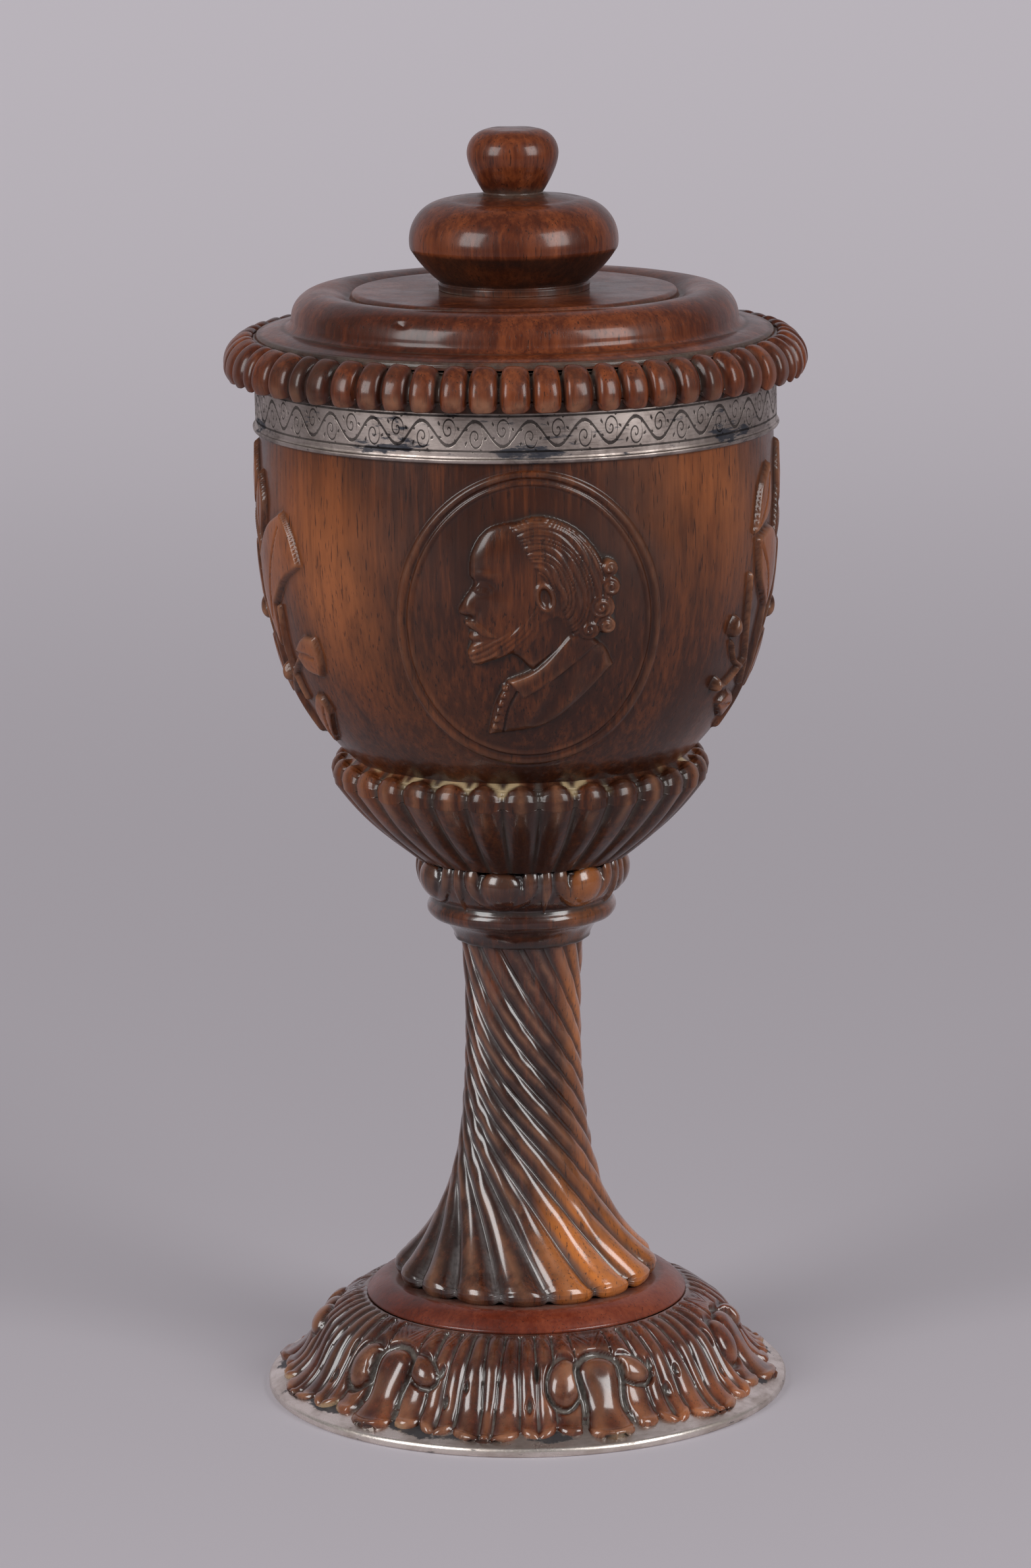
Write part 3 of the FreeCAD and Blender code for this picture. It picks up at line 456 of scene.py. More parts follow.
class Value:
    """A number or colour that changes over a surface, to reckon with like a plain one."""

    def __init__(self, tree: "Tree", socket: bpy.types.NodeSocket) -> None:
        """Takes the socket that gives the value."""
        self.tree, self.socket = tree, socket

    def step(self, kind: str, *others: object) -> "Value":
        """Does one named step of arithmetic with this value first."""
        node = self.tree.add("ShaderNodeMath", operation=kind)
        for socket, value in zip(node.inputs, (self, *others)):
            self.tree.put(socket, value)
        return Value(self.tree, node.outputs[0])

    def clamped(self) -> "Value":
        """Keeps the last step's result from 0 to 1."""
        self.socket.node.use_clamp = True
        return self

    def span(self, low: float, high: float, first: float = 0.0, last: float = 1.0,
             kind: str = "SMOOTHSTEP") -> "Value":
        """Maps a range of values onto another one.

        Args:
            low: Value that gives first.
            high: Value that gives last.
            first: Result at low.
            last: Result at high.
            kind: How it eases between them.

        Returns:
            The new value.
        """
        node = self.tree.add("ShaderNodeMapRange", interpolation_type=kind)
        for socket, item in zip(node.inputs, (self, low, high, first, last)):
            self.tree.put(socket, item)
        return Value(self.tree, node.outputs[0])

    def __add__(self, other: object) -> "Value":
        """Sum."""
        return self.step("ADD", other)

    def __sub__(self, other: object) -> "Value":
        """Difference."""
        return self.step("SUBTRACT", other)

    def __mul__(self, other: object) -> "Value":
        """Product."""
        return self.step("MULTIPLY", other)

    def __truediv__(self, other: object) -> "Value":
        """Quotient."""
        return self.step("DIVIDE", other)


class Tree:
    """Places and joins the nodes of one material or group."""

    def __init__(self, tree: bpy.types.NodeTree) -> None:
        """Takes the tree to work on."""
        self.tree = tree

    def add(self, kind: str, **settings: object) -> bpy.types.Node:
        """Adds a node and sets its plain settings."""
        node = self.tree.nodes.new(kind)
        for key, value in settings.items():
            setattr(node, key, value)
        return node

    def put(self, socket: bpy.types.NodeSocket, value: object) -> None:
        """Joins a socket to a value of the surface, or gives it a plain one."""
        if isinstance(value, Value):
            self.tree.links.new(value.socket, socket)
        else:
            socket.default_value = value

    def fill(self, node: bpy.types.Node, **values: object) -> dict[str, Value]:
        """Sets a node's inputs, named with underscores for spaces, and gives its outputs by name."""
        for key, value in values.items():
            self.put(node.inputs[key.replace("_", " ")], value)
        return {socket.name: Value(self, socket) for socket in node.outputs}

    def group(self, made: bpy.types.NodeTree, **values: object) -> dict[str, Value]:
        """Places a shared effect, sets its inputs and gives its outputs by name."""
        return self.fill(self.add("ShaderNodeGroup", node_tree=made), **values)

    def blend(self, share: object, first: object, second: object) -> Value:
        """Mixes two colours by a share."""
        node = self.add("ShaderNodeMix", data_type="RGBA", blend_type="MIX")
        for place, value in ((0, share), (6, first), (7, second)):
            self.put(node.inputs[place], value)
        return Value(self, node.outputs[2])

    def noise(self, place: Value, scale: float, detail: float = 4.0, rough: float = 0.55,
              warp: float = 0.0) -> Value:
        """Cloudy value about one half."""
        node = self.add("ShaderNodeTexNoise")
        self.fill(node, Vector=place, Scale=scale, Detail=detail, Roughness=rough, Distortion=warp)
        return Value(self, node.outputs[0])

    def place(self, stretch: Sequence[float] = (1.0, 1.0, 1.0),
              shift: Sequence[float] = (0.0, 0.0, 0.0)) -> Value:
        """Place on the piece, stretched along each axis."""
        spot = self.fill(self.add("ShaderNodeTexCoord"))["Object"]
        return self.fill(self.add("ShaderNodeMapping"), Vector=spot, Location=shift, Scale=stretch)["Vector"]

    def parts(self) -> dict[str, Value]:
        """Place on the piece as its X, Y and Z."""
        spot = self.fill(self.add("ShaderNodeTexCoord"))["Object"]
        return self.fill(self.add("ShaderNodeSeparateXYZ"), Vector=spot)

    def mark(self, name: str) -> Value:
        """Value kept on the mesh under a name."""
        return Value(self, self.add("ShaderNodeAttribute", attribute_name=name).outputs["Fac"])

    def bump(self, height: Value, strength: float, distance: float) -> Value:
        """Fine relief too small for the mesh."""
        return self.fill(self.add("ShaderNodeBump"), Height=height, Strength=strength, Distance=distance)["Normal"]


class Effects:
    """Shared effects, each built once and used by several materials."""

    def __init__(self) -> None:
        """Builds every group."""
        self.grain = self._grain()
        self.age = self._age()
        self.tarnish = self._tarnish()
        self.scroll = self._scroll()

    @staticmethod
    def _start(name: str, outputs: Sequence[str], **inputs: object) -> tuple[Tree, dict[str, Value]]:
        """Makes an empty group.

        Args:
            name: Name of the group.
            outputs: Names of its outputs, all numbers but the one called Color.
            inputs: First value of each input, a colour or a number, named with underscores for spaces.

        Returns:
            The group's tree helper, and its inputs by name.
        """
        made = bpy.data.node_groups.new(name, "ShaderNodeTree")
        for key, value in inputs.items():
            kind = "NodeSocketColor" if isinstance(value, tuple) else "NodeSocketFloat"
            socket = made.interface.new_socket(name=key.replace("_", " "), in_out="INPUT", socket_type=kind)
            socket.default_value = value
        for key in outputs:
            kind = "NodeSocketColor" if key == "Color" else "NodeSocketFloat"
            made.interface.new_socket(name=key, in_out="OUTPUT", socket_type=kind)
        tree = Tree(made)
        return tree, tree.fill(tree.add("NodeGroupInput"))

    @staticmethod
    def _end(tree: Tree, **values: Value) -> bpy.types.NodeTree:
        """Joins a group's outputs and gives the group."""
        tree.fill(tree.add("NodeGroupOutput"), **values)
        return tree.tree

    def _grain(self) -> bpy.types.NodeTree:
        """Upright wood grain: broad streaks, fibres, pores and blotches."""
        tree, given = self._start("wood grain", ("Color", "Height"), Dark=shade(30, 16, 12),
                                  Middle=shade(60, 36, 26), Light=shade(100, 62, 42), Contrast=1.0, Streaks=0.5,
                                  Lightness=0.0)
        streak = tree.noise(tree.place((1.0, 1.0, 0.10)), 210.0, 5.0, 0.6, 0.7)
        fibre = tree.noise(tree.place((1.0, 1.0, 0.05)), 950.0, 3.0, 0.6)
        blotch = tree.noise(tree.place((1.0, 1.0, 0.55)), 34.0, 3.0, 0.5, 0.4)
        pores = tree.noise(tree.place((1.0, 1.0, 0.09), (0.3, 0.1, 0.0)), 2300.0, 2.0, 0.5).span(0.60, 0.68)
        mixed = (streak - 0.5) * given["Streaks"] + (fibre - 0.5) * 0.35 + (blotch - 0.5) * 0.4
        level = ((mixed * given["Contrast"]).step("MULTIPLY_ADD", 2.6, 0.5) + given["Lightness"]).clamped()
        colour = tree.blend(level.span(0.0, 0.5, kind="LINEAR"), given["Dark"], given["Middle"])
        colour = tree.blend(level.span(0.5, 1.0, kind="LINEAR"), colour, given["Light"])
        colour = tree.blend(pores * streak.span(0.35, 0.6, 0.25, 0.75), colour, given["Dark"])
        return self._end(tree, Color=colour, Height=fibre * 0.5 + streak * 0.5 - pores * 0.35)

    def _age(self) -> bpy.types.NodeTree:
        """Centuries of handling, and painted shade: grime and painted shade in the hollows, dust, worn crests, stains
        and small dents.
        """
        tree, given = self._start("age", ("Color", "Roughness", "Height"), Color=shade(80, 50, 40),
                                  Dirt=shade(24, 16, 13), Dust_Color=shade(108, 98, 90),
                                  Wear_Color=shade(150, 100, 70), Hollow=0.0, Crest=0.0, Dust=0.0, Wear=0.0,
                                  Gloss=0.35)
        patch = tree.noise(tree.place(), 120.0, 5.0, 0.6)
        speck = tree.noise(tree.place(shift=(0.2, 0.7, 0.1)), 1100.0, 3.0, 0.6)
        stain = tree.noise(tree.place((1, 1, 0.7), (0.5, 0.2, 0.9)), 22.0, 4.0, 0.6, 0.5)
        dent = tree.noise(tree.place(shift=(0.8, 0.3, 0.4)), 260.0, 2.0, 0.4)
        # The hollow mark darkens the colour: grime and painted shade in recesses, creases and under overhangs. The
        # stains below reuse this dark colour for real stains.
        hollow = (given["Hollow"] * patch.span(0.3, 0.6, 0.7, 1.15)).clamped()
        colour = tree.blend(hollow * 0.78, given["Color"], given["Dirt"])
        colour = tree.blend(stain.span(0.50, 0.72, 0.0, 0.45), colour, given["Dirt"])
        dusty = given["Dust"] * patch.span(0.34, 0.62, 0.25, 1.2)
        dusty = (dusty * speck.span(0.3, 0.62, 0.55, 1.0)).clamped()
        colour = tree.blend(dusty, colour, given["Dust Color"])
        worn = (given["Crest"] * given["Wear"] * patch.span(0.38, 0.62, 0.2, 1.3)).clamped()
        colour = tree.blend(worn, colour, given["Wear Color"])
        rough = given["Gloss"] + dusty * 0.42 + hollow * 0.18 + patch.span(0.35, 0.65, -0.05, 0.06)
        rough = (rough + speck.span(0.5, 0.75, 0.0, 0.08)).clamped()
        return self._end(tree, Color=colour, Roughness=rough, Height=speck * 0.35 + dent)

    def _tarnish(self) -> bpy.types.NodeTree:
        """Worn silver: bright rubbed places, grey film and blue-black spots."""
        tree, given = self._start("tarnish", ("Color", "Roughness", "Height"), Bright=shade(200, 194, 186),
                                  Film=shade(132, 122, 116), Black=shade(40, 48, 60), Amount=0.5, Spots=0.5,
                                  Gloss=0.3)
        cloud = tree.noise(tree.place(), 95.0, 6.0, 0.62, 0.3)
        spot = tree.noise(tree.place((1, 1, 4.0), (0.4, 0.6, 0.2)), 230.0, 5.0, 0.65, 0.2)
        grit = tree.noise(tree.place(), 2400.0, 2.0, 0.5)
        scratch = tree.noise(tree.place((1, 1, 9.0), (0.1, 0.2, 0.3)), 260.0, 3.0, 0.6)
        film = (cloud.span(0.36, 0.62) * given["Amount"] + scratch.span(0.45, 0.7, 0.0, 0.25)).clamped()
        colour = tree.blend(film, given["Bright"], given["Film"])
        black = (spot + cloud * 0.45 + given["Spots"] * 0.42).span(0.86, 1.0)
        colour = tree.blend(black * 0.85, colour, given["Black"])
        rough = (given["Gloss"] + film * 0.16 + black * 0.22 + grit.span(0.4, 0.7, 0.0, 0.07)).clamped()
        return self._end(tree, Color=colour, Roughness=rough, Height=grit * 0.2 + cloud * 1.2)

    def _scroll(self) -> bpy.types.NodeTree:
        """Running leaf scroll engraved round a band: a wave, a curl in each bend, and short leaves."""
        tree, given = self._start("engraved scroll", ("Mask",), Repeats=30.0, Low=0.2, High=0.21, Line=0.1)
        spot, line, circle = tree.parts(), given["Line"], 2.0 * math.pi
        run = spot["X"].step("ARCTAN2", spot["Y"] * -1.0) / circle * given["Repeats"]
        rise = (spot["Z"] - given["Low"]) / (given["High"] - given["Low"]) - 0.5
        wave = (run * circle).step("SINE") * 0.33
        masks = [((rise - wave).step("ABSOLUTE") / line).span(0.55, 1.0, 1.0, 0.0)]
        for shift, way in ((0.25, -1.0), (0.75, 1.0)):
            x = ((run + (1.5 - shift)).step("FRACT") - 0.5) * 2.3
            y = rise - 0.10 * way
            reach = (x * x + y * y).step("SQRT")
            turn = (y * way).step("ARCTAN2", x) / circle
            coil = ((reach * 4.6 + turn).step("FRACT") - 0.5).step("ABSOLUTE")
            curl = (coil / (line * 2.3)).span(0.55, 1.0, 1.0, 0.0)
            leaf = ((turn * 7.0 + reach).step("FRACT") - 0.5).step("ABSOLUTE") / 0.13
            ring = reach.span(0.36, 0.39) * reach.span(0.47, 0.50, 1.0, 0.0)
            masks += [curl * reach.span(0.30, 0.34, 1.0, 0.0), leaf.span(0.5, 1.0, 1.0, 0.0) * ring]
        for level in (0.47, -0.47):
            border = (rise - level).step("ABSOLUTE") / (line * 0.6)
            masks.append(border.span(0.5, 1.0, 1.0, 0.0))
        total = masks[0]
        for mask in masks[1:]:
            total = total.step("MAXIMUM", mask)
        return self._end(tree, Mask=total * rise.step("ABSOLUTE").span(0.50, 0.52, 1.0, 0.0))


def start_material(name: str) -> tuple[bpy.types.Material, Tree, bpy.types.Node]:
    """Makes an empty material.

    Args:
        name: Name of the finish.

    Returns:
        The material, its tree helper and its main shader.
    """
    material = bpy.data.materials.new(name)
    material.use_nodes = True
    material.node_tree.nodes.clear()
    tree = Tree(material.node_tree)
    shader = tree.add("ShaderNodeBsdfPrincipled")
    tree.fill(tree.add("ShaderNodeOutputMaterial"), Surface=Value(tree, shader.outputs[0]))
    return material, tree, shader


class Timber(Enum):
    """Which part of the cup a wood finish is for."""
    COVER = "cover wood"
    BOWL = "bowl wood"
    STEM = "stem wood"
    FOOT = "foot wood"
    DISC = "foot disc wood"


@dataclass(frozen=True)
class WoodFinish:
    """Waxed old fruitwood, darker or redder from piece to piece."""
    timber: Timber
    dark: Colour
    middle: Colour
    light: Colour
    # Dark colour for real stains and grime, and for painted shade in the hollows and under overhangs.
    dirt_and_shade: Colour = shade(22, 15, 12)
    dust: Colour = shade(112, 102, 95)
    # Orange colour for orange wood tone and for painted light on the lit sides.
    amber_and_light: Colour = shade(166, 104, 62)
    wax: Colour = shade(200, 178, 138)
    wear: Colour = shade(150, 102, 74)
    gloss: float = 0.36
    coat: float = 0.5
    contrast: float = 0.85
    streaks: float = 0.42
    wear_share: float = 0.5
    amber_share: float = 0.92
    coat_roughness: float = 0.15
    ior: float = 1.5
    specular: float = 0.16
    strength: float = 0.55
    bump: float = 0.00010

    def material(self, effects: Effects) -> bpy.types.Material:
        """Builds the finish.

        Args:
            effects: The shared effects.

        Returns:
            The new material.
        """
        material, tree, shader = start_material(self.timber.value)
        grain = tree.group(effects.grain, Dark=self.dark, Middle=self.middle, Light=self.light,
                           Contrast=self.contrast, Streaks=self.streaks,
                           Lightness=tree.mark("pale").span(0.0, 1.0, 0.0, 0.6, "LINEAR"))
        cloud = tree.noise(tree.place((1, 1, 0.4)), 70.0, 4.0, 0.6)
        amber_and_light = (tree.mark("amber_and_light") * cloud.span(0.3, 0.65, 0.3, 1.2)).clamped()
        gold = tree.blend(grain["Height"].span(0.16, 0.52, 0.25, 1.0), self.middle, self.amber_and_light)
        colour = tree.blend(amber_and_light * self.amber_share, grain["Color"], gold)
        age = tree.group(effects.age, Color=colour, Dirt=self.dirt_and_shade, Dust_Color=self.dust, Wear_Color=self.wear,
                         Hollow=tree.mark("hollow"), Crest=tree.mark("crest"), Dust=tree.mark("dust"),
                         Wear=self.wear_share, Gloss=self.gloss)
        tree.fill(shader, Base_Color=tree.blend(tree.mark("wax"), age["Color"], self.wax),
                  Roughness=age["Roughness"], Coat_Weight=self.coat, Coat_Roughness=self.coat_roughness,
                  IOR=self.ior, Specular_IOR_Level=self.specular,
                  Normal=tree.bump(grain["Height"] * 0.9 + age["Height"], self.strength, self.bump))
        return material


@dataclass(frozen=True)
class SilverFinish:
    """Thin old silver, rubbed bright on its edges and tarnished in its corners."""
    name: str
    bright: Colour
    film: Colour
    amount: float
    spots: float
    gloss: float
    engraved: bool = False
    low: float = 0.0
    high: float = 0.0
    repeats: float = 31.0
    line: float = 0.06
    cut: Colour = shade(44, 40, 40)
    strength: float = 0.6
    bump: float = 0.00006

    def material(self, effects: Effects) -> bpy.types.Material:
        """Builds the finish.

        Args:
            effects: The shared effects.

        Returns:
            The new material.
        """
        material, tree, shader = start_material(self.name)
        skin = tree.group(effects.tarnish, Bright=self.bright, Film=self.film, Amount=self.amount,
                          Spots=tree.mark("hollow") + self.spots, Gloss=self.gloss)
        colour, rough, height = skin["Color"], skin["Roughness"], skin["Height"]
        if self.engraved:
            mask = tree.group(effects.scroll, Repeats=self.repeats, Low=self.low * MM, High=self.high * MM,
                              Line=self.line)["Mask"]
            colour = tree.blend(mask * 0.8, colour, self.cut)
            rough = (rough + mask * 0.3).clamped()
            height = height - mask * 2.0
        tree.fill(shader, Base_Color=colour, Roughness=rough, Metallic=1.0,
                  Normal=tree.bump(height, self.strength, self.bump))
        return material


@dataclass
class Finishes:
    """Every finish of the cup, made once."""
    cover: bpy.types.Material
    bowl: bpy.types.Material
    stem: bpy.types.Material
    foot: bpy.types.Material
    disc: bpy.types.Material
    band: bpy.types.Material
    ring: bpy.types.Material

    @classmethod
    def make(cls) -> "Finishes":
        """Builds all materials with their own values."""
        effects = Effects()
        return cls(
            cover=WoodFinish(Timber.COVER, shade(26, 9, 4), shade(70, 29, 13), shade(120, 60, 30),
                             dust=shade(112, 100, 90), wear=shade(158, 112, 84), gloss=0.38, coat=0.34,
                             wear_share=0.34).material(effects),
            bowl=WoodFinish(Timber.BOWL, shade(22, 9, 5), shade(50, 23, 12), shade(112, 58, 28), gloss=0.4, coat=0.4,
                            amber_and_light=shade(148, 86, 48), contrast=0.72, streaks=0.17).material(effects),
            stem=WoodFinish(Timber.STEM, shade(16, 6, 4), shade(48, 21, 12), shade(106, 54, 28), coat=1.0,
                            dust=shade(100, 93, 92), gloss=0.28, amber_and_light=shade(186, 108, 46)).material(effects),
            foot=WoodFinish(Timber.FOOT, shade(24, 8, 4), shade(62, 24, 12), shade(112, 50, 27), coat=1.0,
                            dust=shade(98, 91, 85), gloss=0.27, amber_and_light=shade(150, 84, 46)).material(effects),
            disc=WoodFinish(Timber.DISC, shade(56, 19, 11), shade(94, 36, 20), shade(122, 58, 36)).material(effects),
            band=SilverFinish("band silver", shade(182, 170, 163), shade(116, 105, 100), 0.8, 0.1, 0.34,
                              True, BAND_FOOT + 2.4, LIP - 0.8).material(effects),
            ring=SilverFinish("ring silver", shade(236, 226, 218), shade(176, 162, 152), 0.6, 0.05, 0.26
                              ).material(effects))


# ---------------------------------------------------------------- pieces

@dataclass
class FootRing:
    """Silver ring that the cup stands on."""
    radius: float = 57.9
    wall: float = 1.2
    sheet: float = 0.9
    shoulder: float = 0.9
    top_radius: float = 50.9
    top_height: float = 4.6
    lip: float = 3.4

    def build(self, finishes: Finishes) -> None:
        """Makes the ring, bright on its edge and spotted on its slope."""
        pen = Pen(self.radius - self.lip, 0.0)
        pen.line(self.radius - self.sheet / 2, 0.0, 4)
        pen.bow(self.radius, self.sheet / 2, 0.09, 5)
        pen.line(self.radius, self.wall, 3)
        pen.bow(self.radius - self.shoulder, self.wall + self.shoulder, 0.225, 7)
        pen.line(self.top_radius, self.top_height, 12)
        pen.line(self.top_radius - 0.3, self.top_height - 0.8, 2)
        pen.line(self.radius - 1.3, self.wall + 0.1, 3)
        pen.line(self.radius - self.sheet, self.sheet, 2)
        pen.line(self.radius - self.lip, self.sheet, 3)
        pen.line(self.radius - self.lip, 0.0, 2)
        skin = Skin(pen.section(), full_turn(240))
        skin.raise_by(0.06 * skin.ripple(5, 14, 0.05)
                      * step_up(skin.height, 1.0, 2.0) * step_up(-skin.height, -4.5, -3.6))
        patch = skin.ripple(7, 18, 0.2, 18)
        skin.mark("hollow", step_up(skin.height, 2.2, 3.2) * step_up(patch, -0.3, 0.6))
        skin.build("foot_ring", finishes.ring, "silver", ["foot_mount"])


@dataclass
class Foot:
    """Turned foot with a collar of six carved leaves and a plain domed step."""
    leaves: int = 6
    turn: float = -10.0
    top_radius: float = 36.2
    top_height: float = 21.0
    plug_radius: float = 49.9
    plug_foot: float = 1.4
    disc_radius: float = 35.4
    disc_top_radius: float = 30.6
    top_grooves: tuple[float, ...] = (0.0, 3.2, 7.4, 12.4, 18.0, 24.0)
    tip_grooves: tuple[float, ...] = (0.0, 1.0, 8.2, 12.6, 16.8, 25.4)
    tips: tuple[tuple[float, float, float], ...] = ((0.0, 8.4, 56.2), (12.3, 4.7, 54.9), (20.6, 4.3, 54.3),
                                                    (30.0, 6.0, 56.3))
    between: float = 51.6
    groove: float = 1.7
    tongue: float = 4.7
    tongue_top: float = 14.6
    row_step: float = 0.36
    columns: int = 900
    crest: tuple[Spot, ...] = ((36.2, 21.0), (38.3, 20.45), (40.42, 19.38), (42.45, 17.98), (44.4, 16.4),
                               (46.18, 14.1), (47.5, 11.9), (48.8, 9.65), (50.2, 7.5), (52.1, 5.6),
                               (54.1, 4.2), (56.3, 3.3))

    def build(self, finishes: Finishes) -> None:
        """Makes the leaves, the step above them and the underside."""
        self.build_leaves(finishes)
        self.build_disc(finishes)
        self.build_underside(finishes)

    def build_leaves(self, finishes: Finishes) -> None:
        """Carves the six leaves over the flare."""
        section = even_rows(Pattern.smooth(self.crest)[::-1], self.row_step)
        foot = section[0]
        ending = foot + np.array([[-3.0, -1.2], [-1.0, -1.7], [-0.05, -1.2]])
        section = np.vstack([ending, section, [[self.top_radius - 1.2, self.top_height - 0.6]]])
        skin = Skin(section, full_turn(self.columns))
        half = 180.0 / self.leaves
        local = centred(skin.angle - self.turn, 2 * half)
        off = np.abs(local)
        share = np.clip((foot[0] - skin.radius) / (foot[0] - self.top_radius), 0, 1)
        spread = 1.0 - np.linspace(0, 1, len(section))[:, None]
        arc = np.radians(1.0) * skin.radius
        bounds = [a + (b - a) * spread ** 0.8 for a, b in zip(self.top_grooves, self.tip_grooves)]
        relief = np.full(skin.radius.shape, -0.3)
        for k, (low, high) in enumerate(zip(bounds[:-1], bounds[1:])):
            middle, wide = (low + high) / 2, np.maximum((high - low) / 2, 0.25)
            if k == 0:
                middle, wide = 0.0, np.maximum(high, 0.25)
            across = np.clip((off - middle) / wide, -1, 1)
            inside = (off >= low) & (off <= high)
            deep = np.minimum(self.groove, 0.8 * wide * arc)
            relief = np.where(inside, (root(1 - across ** 2) ** 0.8 - 1.0) * deep, relief)
        fan = np.abs(np.mod(off / (1.6 + 2.2 * spread) + 0.5, 1.0) - 0.5)
        relief -= 0.3 * fall(fan / 0.12) * step_up(share, 0.7, 0.85) * step_up(off, 7.0, 9.0)
        relief = self.curls(relief, local, arc, skin.height)
        tongue = np.abs(off - half) * arc
        arch = np.hypot(tongue, np.maximum(skin.height - self.tongue_top, 0.0) * 1.5)
        edge = self.tongue + 0.8 * step_up(-skin.height, -8.0, -4.0) - 0.7 * hump(skin.height, 9.0, 3.0) - arch
        relief += (np.minimum(relief, -self.groove) - relief) * step_up(edge, -1.7, -0.8)
        relief = np.where(edge > 0, 2.1 * pillow(edge, 3.4, 1.0) - self.groove, relief)
        reach = np.full(off.shape, self.between)
        for angle, wide, far in self.tips:
            bend = 1 - root(1 - ((off - angle) / wide) ** 2)
            reach = np.maximum(reach, np.where(np.abs(off - angle) < wide, far - 3.4 * bend, 0.0))
        past = skin.radius - reach
        relief = np.where(past > 0, np.minimum(relief, -0.3 - 2.7 * np.clip(past / 0.5, 0, 1)), relief)
        relief += 0.35 * hump(past, -0.9, 0.5) * (past <= 0)
        relief += 0.17 * skin.ripple(11, 30, 0.09, 24)
        skin.raise_by(relief * step_up(np.arange(len(section)), 1.5, 3.5)[:, None]
                      * step_up(share, 1.0, 0.965))
        skin.mark_carving(4, 6, 0.75)
        right = step_up(skin.right, -0.1, 0.9)
        patch = skin.ripple(13, 16, 0.06, 18)
        # Darker where the ground between the leaf tips is cut away: painted shade under the tips, on top of the
        # carving's hollows.
        skin.mark("hollow", skin.marks["hollow"] + 0.8 * step_up(past, 0.0, 0.6))
        skin.mark("dust", step_up(skin.marks["hollow"], 0.35, 0.95) * 0.85 * step_up(-past, 0.0, 0.5)
                  + step_up(share, 0.8, 1.0) * 0.14 + 0.08 * step_up(patch, 0.2, 1.0) * (1 - right))
        skin.mark("amber_and_light", step_up(-skin.height, -13.0, -5.0) * (0.3 + 0.7 * right)
                  * (0.35 + skin.marks["crest"]) * step_up(patch, -0.8, 0.6))
        skin.mark("wax", 0.4 * step_up(patch, 0.5, 0.9) * hump(past, 0.1, 0.35))
        skin.build("foot_leaves", finishes.foot, "foot_wood", ["foot"])

    def curls(self, relief: Grid, local: Grid, arc: Grid, height: Grid) -> Grid:
        """Rolls over the leaf's sides and drills its eyes.

        Args:
            relief: Relief so far.
            local: Angle of each point from the middle of its leaf.
            arc: Millimetres in a degree, at each point.
            height: Height of each point.

        Returns:
            The new relief.
        """
        for angle, level, wide, tall, lean in ((-20.2, 14.2, 3.7, 3.0, 0.5), (20.0, 12.9, 3.8, 4.6, -0.1)):
            x, y = (local - angle) * arc, height - level
            gap = np.hypot((x + lean * y) / wide, y / tall)
            floor = np.minimum(relief, -1.0 - 0.5 * step_up(-y, -1.0, 2.0))
            relief = relief + (floor - relief) * step_up(-gap, -1.3, -1.06)
            relief = np.where(gap < 1.0, -0.9 + 2.2 * root(1 - gap ** 2), relief)
        for angle, level, wide, tall in ((-14.2, 14.6, 0.8, 1.6), (-11.4, 9.0, 0.7, 1.6), (12.6, 15.4, 0.7, 2.0),
                                         (10.4, 8.8, 0.8, 1.7), (-6.4, 12.2, 0.5, 1.4)):
            eye = ((local - angle) * arc / wide) ** 2 + ((height - level) / tall) ** 2
            relief = relief - 1.3 * fall(eye)
        return relief

    def build_disc(self, finishes: Finishes) -> None:
        """Turns the plain step between the leaves and the stem."""
        pen = Pen(self.disc_radius - 2.0, self.top_height - 0.9)
        pen.line(self.disc_radius, self.top_height - 0.2, 3)
        pen.bow(self.disc_radius - 0.1, self.top_height + 0.6, 0.18, 7)
        pen.bow(self.disc_top_radius, STEM_SEAT, 0.5, 16)
        pen.line(14.0, STEM_SEAT - 0.02, 6)
        skin = Skin(pen.section(), full_turn(200))
        skin.raise_by(0.05 * skin.ripple(21, 9, 0.1))
        skin.mark("dust", step_up(-skin.height, -self.top_height - 0.2, -self.top_height + 0.5) * 0.5
                  + hump(skin.radius, 28.2, 1.5) * 0.8)
        # Darker next to the stem's toes: painted shade.
        skin.mark("hollow", step_up(-skin.radius, -28.6, -27.0) * 0.4)
        skin.mark("pale", 0.35 * step_up(skin.right, -0.2, 0.9))
        skin.build("foot_disc", finishes.disc, "foot_wood", ["foot"])

    def build_underside(self, finishes: Finishes) -> None:
        """Turns the plug and the shallow hollow under it."""
        pen = Pen(0.05, self.plug_foot + 3.2)
        pen.bow(42.0, self.plug_foot, -0.96, 14)
        pen.line(self.plug_radius, self.plug_foot, 4)
        pen.line(self.plug_radius, 6.0, 5)
        skin = Skin(pen.section(), full_turn(160))
        skin.mark("dust", 0.25 * np.ones_like(skin.radius))
        skin.build("foot_underside", finishes.foot, "foot_wood", ["foot"], fan_first=True)


